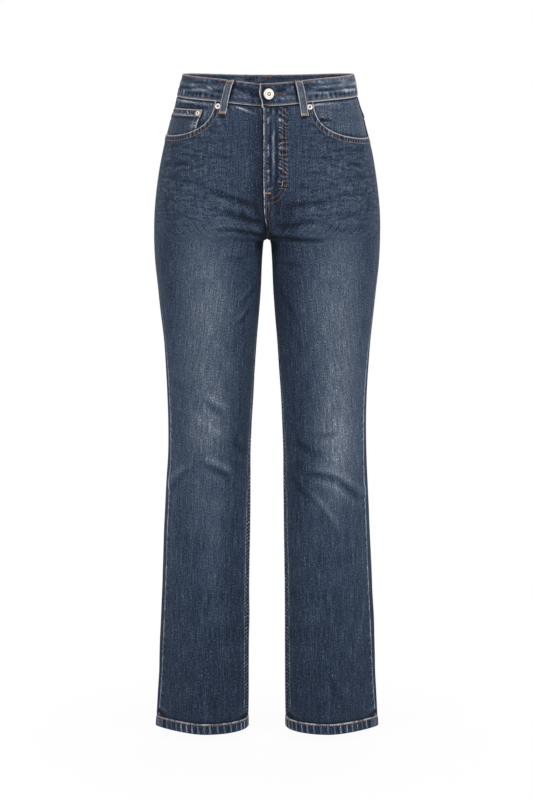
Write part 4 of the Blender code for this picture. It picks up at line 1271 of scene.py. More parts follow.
# long grooves and short folds, in signed arc from the centre front and height up the band
bandCreases = [
    ((50, 24.5, 68, 25, 84, 23.5, 103, 24.5, 128, 24), 2.0, 0.8, 0.2, 0.16, (0.3, 0.2)),
    ((48, 16, 72, 16, 95, 15.5, 124, 16, 160, 15, 190, 14),
     2.0, 1.0, 0.22, 0.24, (0.2, 0.3), (0.3, 0.8)),
    ((110, 28, 140, 27, 176, 22), 1.8, 0.6, 0.14, 0.12),
    ((-142, 24, -111, 25, -91, 24, -78, 22), 2.2, 0.8, 0.2, 0.14, (0.2, 0.3)),
    ((-176, 14, -150, 15, -121, 16.5, -104, 18, -90, 17, -76, 15),
     2.1, 1.0, 0.22, 0.24, (0.2, 0.2), (0.3, 0.8)),
    ((-94, 25, -86, 21.5, -77, 17), 1.7, 0.6, 0.1, 0.4, (0.35, 0.35), (0.2, 0.9)),
    ((-66, 34, -69, 30, -73, 26), 1.6, 0.4, 0.05, 0.4),
    ((-40, 22, -33, 19, -26, 14), 1.8, 0.6, 0.16, 0.34, (0.35, 0.35), (0.3, 0.8)),
    ((-50, 15, -43, 12, -40, 5), 2.0, 0.6, 0.14, 0.26),
    ((-36, 15, -34, 10, -32, 4), 1.7, 0.5, 0.14, 0.22),
    ((-24, 22, -20, 14, -18, 6), 2.6, 0.8, 0.22, 0.1),
    ((11, 22.5, 20, 22, 30, 23.4), 1.9, 0.7, 0.66, 0.08),
    ((9, 12, 14, 10, 19, 5), 1.5, 0.5, 0.16, 0.34),
    ((22, 14, 26, 10, 31, 5), 1.6, 0.5, 0.16, 0.26),
    ((33, 31, 33, 25, 35, 19), 1.6, 0.4, 0.12, 0.22),
    # the same behind
    ((220, 23, 270, 25, 330, 23, 380, 24), 2.1, 0.8, 0.18, 0.15),
    ((210, 15, 260, 14, 300, 16, 360, 15), 2.0, 0.9, 0.18, 0.18),
    ((-214, 22, -250, 24, -310, 22, -370, 24), 2.1, 0.8, 0.18, 0.15),
    ((-204, 14, -262, 16, -318, 14, -372, 16), 2.0, 0.9, 0.18, 0.18),
]


buttonPlace = {"arc": 1.4, "height": -24, "turn": 23}  # turned this far aside, in degrees
beltLoops = {
    "LoopFrontLeft": {"side": 1, "top": 47, "foot": 57, "drop": 19},
    "LoopFrontRight": {"side": -1, "top": 55, "foot": 68, "drop": 17},
    "LoopSideLeft": {"side": 1, "top": 238, "foot": 246, "drop": 16},
    "LoopSideRight": {"side": -1, "top": 238, "foot": 246, "drop": 16},
    "LoopBack": {"side": 1, "top": None, "foot": None, "drop": 16},
}


def bandColumns():
    # fine columns at each end, then one every 2 mm as far as the centre back
    ends, gap, pitch = (v / halfRing for v in (np.array([0, 0.35, 0.8, 1.4, 2.2, 3.2]), 5, 2))
    left = np.concatenate([band["lapEnd"] + ends, np.arange(band["lapEnd"] + gap, 1, pitch)])
    right = np.arange(band["underEnd"] + gap, 1.0001, pitch)[::-1]
    return left, np.concatenate([right, band["underEnd"] + ends[::-1]])


def makeBand():
    left, right = bandColumns()
    fraction = np.concatenate([left, right])[:, None]
    side = np.concatenate([0 * left + 1, 0 * right - 1])[:, None]
    height = jeans["bandHeight"] - 0.15
    up, out, outer = stripProfile(height, band["wall"], 26, 12)
    reach = fraction * halfRing  # from the middle, on either side
    fromEnd = np.where(side > 0, fraction - band["lapEnd"], fraction - band["underEnd"]) * halfRing
    thin = np.sqrt(1 - (1 - np.clip(fromEnd / 1.3, 0.02, 1)) ** 2)
    under = smooth(band["underRamp"], band["underFrom"], fraction) * (side < 0)
    lift = band["lift"] - band["wall"] / 2 - under * (band["wall"] + jeans["layer"])
    around = reach * side + (side < 0) * 2 * halfRing  # arc from the lapped end, all round

    level = 0.8 * softNoise(around / 21, up / 5.2 + 3, 5) + 0.6 * softNoise(around / 9, up / 5, 6)
    level = level + 0.5 * softNoise(around / 46 + up / 30, up / 3.8, 9)
    level = level * smooth(2.5, 6, up) * smooth(2, 6, height - up)
    drawn = 0.7 * softNoise(around / 30, 0 * up, 11) + 0.15 * softNoise(around / 8, up / 9, 13)
    beat = around / 9.2 + drawn
    strong = smooth(40, 80, reach)
    foot = smooth(2.6, 4.2, up) * fall(9, 12.5, up) * (0.35 + 0.65 * strong)
    head = smooth(1.8, 3.4, height - up) * fall(4, 9, height - up) * 0.3
    wave = np.sin(2 * math.pi * beat)
    signed = around - 2 * halfRing * (side < 0)
    placed = (signed > band["hollows"][0] - 5) & (signed < band["hollows"][-1] + 5)
    pucker = np.where(wave > 0, 0.6 * wave, wave) * (foot * np.where(placed, 0.25, 1) + head)
    wide, tall = band["hollowSize"]
    hollow = sum(bump(signed, place, wide) for place in band["hollows"])
    hollow = hollow * bump(up, band["hollowAt"], tall)
    folds, foldShading = creaseRelief(signed + 0 * up, up + 0 * around, bandCreases)
    relief = band["wave"] * level + band["pucker"] * (pucker - hollow) + folds
    # each stitch row draws the band in
    relief -= 0.45 * bump(up, 2.2, 1.3) + 0.4 * bump(height - up, 2.0, 1.2)
    relief = relief * outer

    bottom = waistSeam(fraction) + 0.15
    heights = bottom + height / 2 + (up - height / 2) * (0.93 + 0.07 * thin)
    nearLap = (side > 0) * fall(0, 16, fromEnd)
    heights = heights - band["lapDrop"] * nearLap * fall(3, 14, up)
    swing = smooth(17, 5, up) - 0.26 * bump(up, 21, 5)
    arcs = halfLength(heights) * fraction + band["lapSwing"] * swing * nearLap
    points, normals = surfaceAt(heights, arcs, side)
    points = points + (lift + out * thin + relief)[..., None] * normals
    # painted shade in the folds' troughs and in the hollows near the foot, and painted light on the
    # folds' lips
    fade = band["levelFade"] * np.minimum(level, 0.8) + band["puckerFade"] * pucker + foldShading
    fade -= band["hollowShade"] * hollow
    # the front of the band is darker than the sides, and darkest beside the lapped end, where its
    # shadow is painted
    fade -= 0.1 * fall(30, 75, reach)
    besideLap = (side < 0) * smooth(2, 8, reach) * fall(12, 26, reach)
    fade -= 0.14 * besideLap
    fade += 0.12 * (side > 0) * smooth(60, 100, reach) - 0.03 * (side < 0)
    # a painted shadow in the band's upper part near its side, on the wearer's left
    atSide = bump(signed, 188, 9) * smooth(8, 18, up)
    fade -= 0.6 * atSide * (side > 0)
    # shade beside each front belt loop, and round the button
    for loop in beltLoops.values():
        if loop["top"] is not None and loop["top"] < 100:
            middle = loop["foot"] + (up + 17) / 51 * (loop["top"] - loop["foot"])
            near = bump(reach, middle - 7.4, 1.8)
            fade -= near * (side == loop["side"])
    toButton = np.hypot(signed - buttonPlace["arc"], heights - buttonPlace["height"])
    fade -= 0.5 * fall(8.4, 11.4, toButton)
    # the underlap, lying under the lapped end, is darkened with painted shade
    fade = fade * outer + (0.26 * level - 0.02) * (1 - outer) - 0.1 * under
    full = np.broadcast_to
    layers = {
        "fade": fade,
        "bandFoot": np.where(outer > 0.05, up, farOff) + 0 * fade,
        "bandHead": full(height - up, fade.shape),
        "bandEnd": np.where((side > 0) & (outer > 0.05), fromEnd, farOff) + 0 * fade,
    }
    uv = np.stack([full(around, fade.shape), full(up, fade.shape)], axis=-1)
    piece = makeMesh("Waistband", points, tubeFaces(*heights.shape), [bandDenim], layers, uv)
    tree = surfaceTree(piece)
    cutButtonhole(piece)
    addPiece(piece)
    return tree


buttonhole = {"length": 25, "slit": 1.3}


def cutButtonhole(piece):
    # an eye for the shank, and a slit that runs from it away from the lapped end
    arcs = np.linspace(buttonPlace["arc"] - 2, buttonPlace["arc"] + buttonhole["length"], 20)
    halfSlit = buttonhole["slit"] / 2
    corners = []
    for out in (3.4, -3.4):
        for rise in (-halfSlit, halfSlit):
            taper = np.clip((arcs[-1] - arcs) / 3, 0.15, 1)
            points, normals = surfaceAt(buttonPlace["height"] + rise * taper, arcs)
            corners.append(points + normals * (out + band["lift"] - 1.3))
    grid = np.stack([corners[0], corners[1], corners[3], corners[2]], axis=1)
    cutter = makeMesh("ButtonholeCutter", grid, tubeFaces(len(arcs), 4, flip=False), [])
    cut = piece.modifiers.new("Buttonhole", "BOOLEAN")
    cut.object = cutter
    cut.operation = "DIFFERENCE"
    depsgraph = bpy.context.evaluated_depsgraph_get()
    mesh = bpy.data.meshes.new_from_object(piece.evaluated_get(depsgraph))
    piece.modifiers.remove(cut)
    piece.data = mesh
    bpy.data.objects.remove(cutter)


hem = {
    "wall": 2.7,
    "row": 14.8,  # height of its stitches above the foot
    "ribPitch": 10.4,
    "ribHeight": 0.7,
    "ribPale": 0.76,
    "blockPale": 0.4,
    "ridgePale": 0.6,  # the line above the stitches
}


def makeHem(sideName):
    side = sides[sideName]
    columns = 480
    turn = (np.arange(columns) / columns)[:, None]
    height = jeans["hemHeight"]
    up, out, outer = stripProfile(height, hem["wall"], 18, 6)
    heights = jeans["hemBottom"] + up + 0 * turn
    arcs = turn * halfLength(heights)
    points, normals = surfaceAt(heights, arcs, side)
    # roping: the turned-up cloth twists under its stitches into slanted ribs
    wander = 1.6 * softNoise(turn * 9, 0 * up, 31 + side)
    wander = wander + 0.5 * softNoise(turn * 31, up / 9, 33 + side)
    beat = turn * round(float(arcs.max()) / hem["ribPitch"]) + wander * 0.2 + up * 0.01 * side
    bar = ((1 + np.sin(2 * math.pi * beat)) / 2) ** 6
    reach = smooth(0.2, 2.0, up) * (1 - 0.75 * smooth(hem["row"] - 2.2, hem["row"] - 0.6, up))
    depth = 0.85 + 0.3 * softNoise(turn * 23 + 5, 0 * up, 37 + side)
    relief = hem["ribHeight"] * bar * reach * depth - 0.5 * bump(up, hem["row"], 1.0)
    points = points + ((relief * outer) + out - 0.8)[..., None] * normals
    # the leg's seams make it thick beside them
    sideAt = float(sideArc(jeans["hemBottom"]))
    block = bump(arcs, sideAt - 13.4, 8)
    ribs = hem["ribPale"] * bar * depth * (1 - 0.7 * block)
    fade = (ribs - 0.14 + hem["blockPale"] * block) * reach
    for place, amount, width in ((sideAt - 27, -0.55, 2.6), (3, 0.26, 5.0)):
        fade += amount * bump(arcs, place, width) * reach
    beads = np.clip(1.0 + 0.7 * softNoise(turn * 70, 0 * up, 41 + side), 0.7, 1.5)
    fade += hem["ridgePale"] * beads * smooth(hem["row"] + 0.2, hem["row"] + 0.8, up)
    shown = smooth(0.05, 0.5, outer)
    fade = fade * shown - 0.15 * (1 - shown)
    layers = {"fade": fade, "hemFoot": up + 0 * fade}
    faces = gridFaces(columns, len(up), ring=True, flip=side > 0, loop=True)
    uv = np.stack([arcs, heights], axis=-1)
    piece = makeMesh(f"Hem{sideName}", points, faces, [hemDenim], layers, uv)
    addPiece(piece)
    return surfaceTree(piece)


loopShape = {"width": 11, "wall": 1.8, "clear": 3.2}


def loopPlaces(loop, along):
    # heights, arcs and standing-off along the middle of a loop, from its foot to its top
    fraction = 1.0 if loop["top"] is None else loop["top"] / halfRing
    top, seam = float(bandTop(fraction)) - 0.3, float(waistSeam(fraction))
    heights = seam - loop["drop"] + along * (top - seam + loop["drop"])
    if loop["top"] is None:
        arcs = halfLength(heights)
    else:
        arcs = loop["foot"] + along * (loop["top"] - loop["foot"])
    fromTop = 1 - along
    stand = smooth(0.09, 0.2, fromTop) * fall(0.68, 0.83, fromTop)
    lift = 0.45 + smooth(seam - 4, seam, heights) * band["lift"] + stand * loopShape["clear"]
    return heights, arcs, lift


def makeLoop(name, loop):
    along = np.linspace(0, 1, 46)
    heights, arcs, lift = (v[:, None] for v in loopPlaces(loop, along))
    up, out, outer = stripProfile(loopShape["width"], loopShape["wall"], 14, 8, 4)
    across = up - loopShape["width"] / 2
    # the strap is three layers thick in the middle, and its ends are turned under
    end = np.minimum(along, 1 - along)[:, None]
    thin = 0.55 + 0.45 * smooth(0, 0.03, end)
    swell = 0.35 * fall(2.2, 3.4, np.abs(across)) * outer
    wobble = 0.25 * softNoise(along[:, None] * 9, across / 5, len(name)) * outer
    points, normals = surfaceAt(heights, arcs + across, loop["side"])
    raised = lift + loopShape["wall"] / 2 + out * thin + swell + wobble
    points = points + raised[..., None] * normals
    # paler where the strap swells and bulges and darker where it dips, and darker on its back face
    # against the band: painted light and shade
    fade = 0.1 * swell / 0.35 + 0.35 * wobble - 0.2 * (1 - outer) + np.zeros_like(raised)
    fade += 0.2 * fall(0.0, 0.05, end) * outer
    layers = {"fade": fade, "loopEdge": np.minimum(up, loopShape["width"] - up) + 0 * fade}
    faces = tubeFaces(*raised.shape, flip=loop["side"] < 0)
    length = float(runAlong(points[:, 7])[-1])
    uv = np.stack([across + 0 * raised, along[:, None] * length + 0 * raised], axis=-1)
    piece = makeMesh(name, points, faces, [loopDenim], layers, uv)
    addPiece(piece, "belt_")
    return surfaceTree(piece)


bandTree = makeBand()
hems = {name: makeHem(name) for name in sides}
loops = {name: makeLoop(name, loop) for name, loop in beltLoops.items()}
print("waistband, hems and belt loops made")


# Pockets and what lies behind the fly

coin = {"start": 100, "sideInset": 7, "topDrop": 17.3, "topTilt": 3, "hem": 7,
        "rivetAcross": 9.6, "rivetDown": 6.4, "lean": 3.4, "wall": 0.9,
        "rivetRadius": 4.1, "rivetLift": 0.75, "rivetTail": (2.4, 1.2)}


def coinTop(arcs):
    # height of its upper edge, which tilts up towards the fly; arcs are those at the waist seam
    tilt = coin["topTilt"] * (frontEnd - arcs) / (frontEnd - coin["start"])
    return frontSeam(arcs) - coin["topDrop"] + tilt


def coinLean(arcs, drop):
    # its inner edge bows outwards below the corner
    inner = np.clip((frontEnd - arcs) / (frontEnd - coin["start"]), 0, 1)
    return coin["lean"] * smooth(2, 22, drop) * inner


def pocketArcs(first, inset=0.0, steps=44):
    # arcs at the waist seam
    last = frontEnd - inset
    middle = np.linspace(first + 9, last - 9, steps)
    return np.concatenate([first + edgeSteps, middle, last - edgeSteps[::-1]])


def layerPoints(sideName, arcs, low, high, rows, lift):
    heights = low + rows[:, None] * (high - low)
    spread = arcs * sideArc(heights) / frontEnd
    points, normals = surfaceAt(heights, spread, sides[sideName])
    return heights, spread, points + (lift + 0 * heights)[..., None] * normals, normals


def makeFacing(sideName):
    # the denim seen inside the mouth; it runs on a little way under the front
    side = sides[sideName]
    arcs = pocketArcs(pocketMouths[sideName]["start"] - 14)
    top, rows = frontSeam(arcs) - 0.15, np.linspace(0, 1, 60)
    lift = -(jeans["denim"] + jeans["layer"])
    heights, spread, points, normals = layerPoints(sideName, arcs, -124, top, rows, lift)
    x, z = points[..., 0], points[..., 2]
    relief, fade = creaseRelief(x, z, facingCreases)
    fromTop, fromSide = top - heights, sideArc(heights) - spread
    relief += 0.35 * softNoise(x / 24, z / 30, 14) + seamRoll(fromSide)
    relief -= 0.5 * fall(0, 4, fromTop)
    # a painted shadow under the waistband
    fade += 0.03 - 0.5 * fall(1.4, 3.6, fromTop)
    lip = 0.34 * smooth(108, 126, arcs) if side < 0 else 0.16 * fall(104, 118, arcs)
    fade += (0.16 + lip) * bump(fromTop, 4.2, 1.2)
    # painted shade along the side seam, a little paler further in on the wearer's left
    fade -= 0.34 * fall(0, 3.4, fromSide) - 0.12 * bump(fromSide, 9, 4) * (side > 0)
    # a painted shadow just above the pocket mouth's edge
    fade -= 0.34 * fall(0.5, 7.0, heights - mouthAt(sideName, arcs))
    # painted shadows along the coin pocket's top and beside its inner edge
    if side < 0:
        aboveCoin = heights - coinTop(arcs)
        outerPart = smooth(coin["start"] - 2, coin["start"] + 1, arcs)
        fade -= 0.7 * bump(aboveCoin, 1.7, 1.7) * outerPart
        besideAt = coin["start"] - 1.8 + coinLean(coin["start"], np.maximum(-aboveCoin, 0))
        beside = bump(arcs, besideAt, 1.9)
        fade -= 0.6 * beside * fall(-1, 2, aboveCoin)
    points = points + relief[..., None] * normals
    layers = {"fade": fade, "sideSeam": fromSide}
    return makeCloth(f"PocketFacing{sideName}", facingDenim, points, layers,
                     heights, spread, side, slot="facing_denim")


facingCreases = [
    # the first is a deep fold above the mouth, its dark a painted shadow
    ((75, -61.2, 84, -61.6, 93, -62.2, 103, -62.4), 1.8, 1.8, 1.3, 0.26, (0.03, 0.8)),
    ((69, -40, 77, -37, 88, -35), 1.9, -0.6, -0.3, -0.06, (0.1, 0.5)),
    ((-137, -33, -118, -37, -101, -40.5, -84, -45), 2.2, 1.0, 0.5, 0.2, (0.1, 0.2)),
    ((-134, -26.5, -122, -28.5, -110, -31), 1.6, -0.5, -0.22, -0.05),
    ((-100, -46, -95, -50, -92, -56), 2.6, -0.6, -0.22, -0.1),
    ((-92, -60, -98, -66, -103, -72), 2.8, 0.6, 0.26),
    ((104, -78, 120, -83, 150, -84), 3.4, 0.6, 0.18),
    ((118, -58, 132, -56, 150, -58), 3, 0.5, 0.1),
    ((86, -44, 100, -46, 120, -45), 2.6, 0.4, 0.12, 0.1),
    ((-92, -52, -104, -50, -118, -46), 3, 0.6, 0.14, 0.1),
    ((-90, -66, -98, -72, -104, -80), 3, 0.5, 0.12),
]


def makeCoinPocket():
    arcs = pocketArcs(coin["start"], coin["sideInset"], 18)
    mouth = mouthAt("Right", arcs)
    low, high = mouth - 2.6, coinTop(arcs)
    rows = np.concatenate([np.linspace(0, 0.8, 26), 1 - closingRows[8:] / 40])
    bent = arcs + coinLean(arcs, (1 - rows[:, None]) * (high - low))
    heights, spread, points, normals = layerPoints("Right", bent, low, high, rows, -0.15)
    fromTop, fromFoot = high - heights, heights - mouth
    fromSide = np.minimum(spread - spread[:, :1], spread[:, -1:] - spread)
    edge = np.minimum(fromTop, fromSide)
    x, z = points[..., 0], points[..., 2]
    # its foot goes down under the mouth's edge
    relief = 0.45 * fall(coin["hem"] - 0.8, coin["hem"] + 0.8, fromTop)
    relief += 0.3 * softNoise(x / 12, z / 14, 15) * smooth(0, 5, edge)
    relief -= 0.9 * fall(0, 1.0, edge) + 1.7 * fall(-0.5, 2.6, fromFoot)
    points = points + relief[..., None] * normals
    # paler where it stands up and darker where it sinks, and darker still where its foot goes under
    # the mouth's edge: painted light and shade
    fade = 0.12 * (relief - 0.2) - 0.1 * fall(0, 5, fromFoot)
    fade += 0.6 * bump(fromTop, 9.6, 1.3)
    fade -= 0.6 * bump(fromTop, 12.9, 1.6)
    fade += 0.3 * bump(x, -112, 4) * bump(z, -68, 6)
    fade -= 0.12 * bump(x, -126, 9) * bump(z, -66, 7)
    layers = {"fade": fade, "patchEdge": fromTop, "patchSide": fromSide}
    return makeCloth("CoinPocket", coinDenim, points, layers, heights, spread, -1,
                     slot="facing_denim", wall=coin["wall"])


bag = {"start": 48, "sideInset": 5, "bottom": -196, "corner": 30, "cornerPower": 2.5, "wall": 0.7}


def makeBag(sideName):
    arcs = pocketArcs(bag["start"], bag["sideInset"], 40)
    top, rows = frontSeam(arcs) - 0.45, np.linspace(0, 1, 60)
    across = (arcs - arcs[0]) / (arcs[-1] - arcs[0])
    bottom = bag["bottom"] + bag["corner"] * np.abs(2 * across - 1) ** bag["cornerPower"]
    lift = -2 * (jeans["denim"] + jeans["layer"]) - 0.3
    heights, spread, points, normals = layerPoints(sideName, arcs, bottom, top, rows, lift)
    x, z = points[..., 0], points[..., 2]
    slack = 0.5 * softNoise(x / 20, z / 34, 17) - 0.5
    points = points + (slack * smooth(0, 10, heights - bottom))[..., None] * normals
    makeCloth(f"PocketBag{sideName}", cotton, points, {}, heights, spread,
              sides[sideName], slot="pocket_cotton", wall=bag["wall"])


backPocket = {
    "drop": 22, "slope": 10, "sides": 118, "point": 18, "topWidth": 142, "footWidth": 118,
    "fromCentre": 97, "lift": 1.9, "hem": 17, "wall": 1.0,
}


def backPocketPlan(across, down):
    # heights and arcs of a plain five-sided patch; across is -0.5 to 0.5, down 0 to 1
    top = float(yokeSeams(0.6)[1]) - backPocket["drop"] - across * backPocket["slope"]
    foot = top - backPocket["sides"] - backPocket["point"] * (1 - 2 * np.abs(across))
    heights = top + down * (foot - top)
    width = backPocket["topWidth"] + down * (backPocket["footWidth"] - backPocket["topWidth"])
    return heights, halfLength(heights) - backPocket["fromCentre"] + across * width, top, foot


def makeBackPocket(sideName):
    side = sides[sideName]
    near = edgeSteps / 140
    across = np.concatenate([near, np.linspace(0.07, 0.93, 46), 1 - near[::-1]])[None, :] - 0.5
    down = np.concatenate([near, np.linspace(0.07, 0.93, 42), 1 - near[::-1]])[::-1, None]
    heights, arcs, top, foot = backPocketPlan(across, down)
    points, normals = surfaceAt(heights, arcs, side)
    width = backPocket["topWidth"] + down * (backPocket["footWidth"] - backPocket["topWidth"])
    fromTop = top - heights
    edge = np.minimum((0.5 - np.abs(across)) * width, heights - foot)
    x, z = points[..., 0], points[..., 2]
    relief = 0.5 * softNoise(x / 30, z / 34, 18) * smooth(0, 12, np.minimum(edge, fromTop))
    relief += 0.5 * fall(backPocket["hem"] - 1, backPocket["hem"] + 1, fromTop)
    relief += 0.35 * fall(8.5, 10.5, edge) + 0.5 * smooth(0, 60, fromTop) * smooth(0, 30, edge)
    rolled = np.minimum(edge, fromTop)
    relief -= 1.3 * fall(0, 1.3, rolled) + 0.6 * fall(0, 12, edge) * smooth(4, 14, fromTop)
    points = points + (relief + backPocket["lift"])[..., None] * normals
    # over the panel's wash, paler where the patch stands out and darker where it sinks: painted light
    # and shade
    fade = washAndShade(x, z, backWashAndShade) + 0.1 * (relief - 0.3)
    fade += 0.06 * bump(across, 0, 0.3) * smooth(0, 30, fromTop)
    layers = {"fade": fade, "patchEdge": rolled}
    return makeCloth(f"BackPocket{sideName}", patchDenim, points, layers, heights,
                     arcs, side, wall=backPocket["wall"])


fly = {"top": -46, "zipBottom": -166, "shieldBottom": -180, "zipFrom": -9, "zipTo": 17,
       "shieldFrom": -14, "shieldTo": 38, "under": 1.0, "shieldUnder": 2.4, "tape": 0.8}


def makeFlyStrip(name, slot, first, last, bottom, lift, material, wall):
    arcs, heights = np.meshgrid(np.linspace(first, last, 20), np.linspace(bottom, fly["top"], 60))
    points, normals = surfaceAt(heights, arcs)
    slack = 0.15 * softNoise(arcs / 12, heights / 26, 19)
    points = points + (lift + slack)[..., None] * normals
    return makeCloth(name, material, points, {"fade": slack}, heights, arcs, 1,
                     slot=slot, wall=wall)


facings = {name: makeFacing(name) for name in sides}
coinPocket = makeCoinPocket()
for sideName in sides:
    makeBag(sideName)
backPockets = {name: makeBackPocket(name) for name in sides}
zipLift = -(jeans["denim"] + fly["under"])
zipStrip = makeFlyStrip("FlyZip", "zip_tape", fly["zipFrom"], fly["zipTo"], fly["zipBottom"],
                        zipLift, zipTape, fly["tape"])
makeFlyStrip("FlyShield", "facing_denim", fly["shieldFrom"], fly["shieldTo"],
             fly["shieldBottom"], zipLift - fly["shieldUnder"], facingDenim, jeans["denim"])
print("pockets and fly pieces made")


# Casting onto the finished cloth, so that thread and metal lie exactly on it


def overBody(heights, arcs, side=1, away=14):
    points, normals = surfaceAt(heights, arcs, side)
    return points + away * normals, -np.sign(away) * normals


def fromFront(x, z):
    x, z = np.broadcast_arrays(np.asarray(x, float), np.asarray(z, float))
    origins = np.stack([x, 0 * x - 300, z], axis=-1)
    return origins, np.broadcast_to(np.array([0.0, 1.0, 0.0]), origins.shape)


def castOnto(tree, origins, directions):
    places, outs = [], []
    for origin, direction in zip(origins, directions):
        place, normal, _, _ = tree.ray_cast(Vector(origin * mm), Vector(direction))
        if place is None:
            continue
        places.append(np.array(place) / mm)
        outs.append(np.array(normal) * (-1 if normal.dot(Vector(direction)) > 0 else 1))
    return np.array(places), np.array(outs)


# Metal parts: radius and rise as parts of the size, and how dark each ring is (painted shade in its
# hollows, with some grime), from the middle
buttonShape = {
    "radius": 8.6,
    "stand": 2.2,
    "tail": (2.2, 3.4),  # radius and length of its shank
    "rings": [
        (0.02, 0.27, 0.0), (0.14, 0.26, 0.1), (0.2, 0.23, 0.7), (0.25, 0.19, 1.1), (0.32, 0.19, 1.1),
        (0.36, 0.23, 0.6), (0.42, 0.26, 0.1), (0.58, 0.27, 0.0), (0.64, 0.25, 0.3), (0.68, 0.23, 0.5),
        (0.72, 0.25, 0.2), (0.8, 0.29, 0.0), (0.9, 0.27, 0.0), (0.97, 0.19, 0.3), (1.0, 0.09, 0.9),
        (0.96, 0.02, 1.0),
    ],
    "beads": 0.018,
}
rivetShape = {
    "radius": 4.7,
    "inset": 5.5,  # from the pocket mouth
    "drop": 7.4,  # below the waist seam
    "lift": 0.25,
    "tail": (3.4, 1.2),
    "rings": [
        (0.03, 0.24, 0.8), (0.16, 0.23, 1.1), (0.26, 0.17, 1.2), (0.34, 0.16, 1.1), (0.42, 0.21, 0.4),
        (0.5, 0.26, 0.0), (0.64, 0.28, 0.0), (0.78, 0.25, 0.0), (0.92, 0.16, 0.2), (1.0, 0.04, 0.8),
        (0.98, -0.05, 1.0),
    ],
}


def makeTurned(name, shape, place, out, size, lift, tail, columns=56):
    across = unit(np.cross(np.array([0.0, 0.0, 1.0]), out))
    up = np.cross(out, across)
    rings = np.array(shape["rings"])
    radius, rise, hollow = rings[:, 0] * size, rings[:, 1] * size + lift, rings[:, 2]
    # the tail goes down into the cloth
    radius = np.concatenate([radius, [tail[0], tail[0], tail[0] * 0.9]])
    rise = np.concatenate([rise, [rise[-1] - 0.05, -tail[1], -tail[1] - 0.2]])
    hollow = np.concatenate([hollow, [1, 1, 1]])
    angle = np.arange(columns) * 2 * math.pi / columns
    spokes = np.cos(angle)[:, None] * across + np.sin(angle)[:, None] * up
    bead = shape.get("beads", 0) * size * np.sin(angle * 24)
    rim = bump(rings[:, 0], 0.8, 0.09)
    height = rise[:, None] + np.concatenate([rim, [0, 0, 0]])[:, None] * bead
    points = place + radius[:, None, None] * spokes + height[..., None] * out
    layers = {"hollow": np.repeat(hollow[:, None], columns, axis=1)}
    piece = makeMesh(name, points, tubeFaces(len(radius), columns), [buttonMetal], layers)
    addPiece(piece)


frontTrees, backTrees, yokeTrees, pocketTrees = (
    {name: surfaceTree(piece) for name, piece in pieces.items()}
    for pieces in (fronts, backs, yokes, backPockets)
)
coinTree = surfaceTree(coinPocket)

buttonAt = castOnto(bandTree, *overBody([buttonPlace["height"]], [buttonPlace["arc"]]))
aside = math.radians(buttonPlace["turn"])
buttonFacing = unit(np.array([math.sin(aside), -math.cos(aside), 0.02]))
makeTurned("WaistButton", buttonShape, buttonAt[0][0], buttonFacing,
           buttonShape["radius"], buttonShape["stand"], buttonShape["tail"])
for sideName, tree in frontTrees.items():
    arc = pocketMouths[sideName]["start"] - rivetShape["inset"]
    line = overBody([float(frontSeam(arc)) - rivetShape["drop"]], [arc], sides[sideName])
    rivetAt, outward = castOnto(tree, *line), -line[1][0]
    makeTurned(f"Rivet{sideName}", rivetShape, rivetAt[0][0], outward,
               rivetShape["radius"], rivetShape["lift"], rivetShape["tail"])
coinArc = coin["start"] + coin["rivetAcross"]
coinHeight = float(coinTop(coinArc)) - coin["rivetDown"]
coinLine = overBody([coinHeight], [coinArc], -1)
rivetAt = castOnto(coinTree, *coinLine)
makeTurned("RivetCoin", rivetShape, rivetAt[0][0], -coinLine[1][0], coin["rivetRadius"],
           coin["rivetLift"], coin["rivetTail"])
print("button and rivets set")


# Thread. A stitch comes up out of the cloth, lies on it and goes down again.
thread = {"pitch": 3.4, "length": 2.75, "width": 0.95, "ringSides": 6}
ringPlaces = np.array([0, 0.18, 0.5, 0.82, 1])
ringRises = np.array([-0.45, 0.12, 0.28, 0.12, -0.45])
ringSizes = np.array([0.45, 0.9, 1, 0.9, 0.45])
sewn = {}  # the stitches of each seam, gathered under the name of their piece


def layThread(group, centres, outs, runs, width):
    # centres, outs and runs have one row for each stitch and one column for each ring
    beside = unit(np.cross(outs, runs))
    angle = np.arange(thread["ringSides"]) * 2 * math.pi / thread["ringSides"]
    spokes = np.cos(angle)[:, None] * beside[:, :, None]
    spokes = spokes + 0.8 * np.sin(angle)[:, None] * outs[:, :, None]
    centres = centres + (ringRises * width / thread["width"])[None, :, None] * outs
    points = centres[:, :, None] + (ringSizes * width / 2)[None, :, None, None] * spokes
    rings, count = len(ringPlaces), thread["ringSides"]
    one = tubeFaces(rings, count)
    meshes = sewn.setdefault(group, [[], []])
    for stitch in points:
        base = rings * count * len(meshes[0])
        meshes[0].append(stitch.reshape(-1, 3))
        meshes[1] += [[corner + base for corner in face] for face in one]


def alongPath(places, outs, at):
    run = runAlong(places)
    read = lambda values, where: np.stack([np.interp(where, run, values[:, k]) for k in range(3)], -1)
    runs = read(places, at + 0.3) - read(places, at - 0.3)
    return read(places, at), unit(read(outs, at)), runs


def sewRow(group, tree, lines, pitch=thread["pitch"], length=thread["length"], width=thread["width"]):
    places, outs = castOnto(tree, *lines)
    total = runAlong(places)[-1]
    count = int((total - length) / pitch) + 1
    draw = np.random.default_rng(len(places) + count)
    starts = (total - (count - 1) * pitch - length) / 2 + np.arange(count) * pitch
    starts = starts + draw.uniform(-0.12, 0.12, count)
    at = starts[:, None] + ringPlaces * length
    centres, normals, runs = alongPath(places, outs, at)
    aside = unit(np.cross(normals, runs))
    centres = centres + draw.uniform(-0.12, 0.12, (count, 1, 1)) * aside
    layThread(group, centres, normals, runs, width)


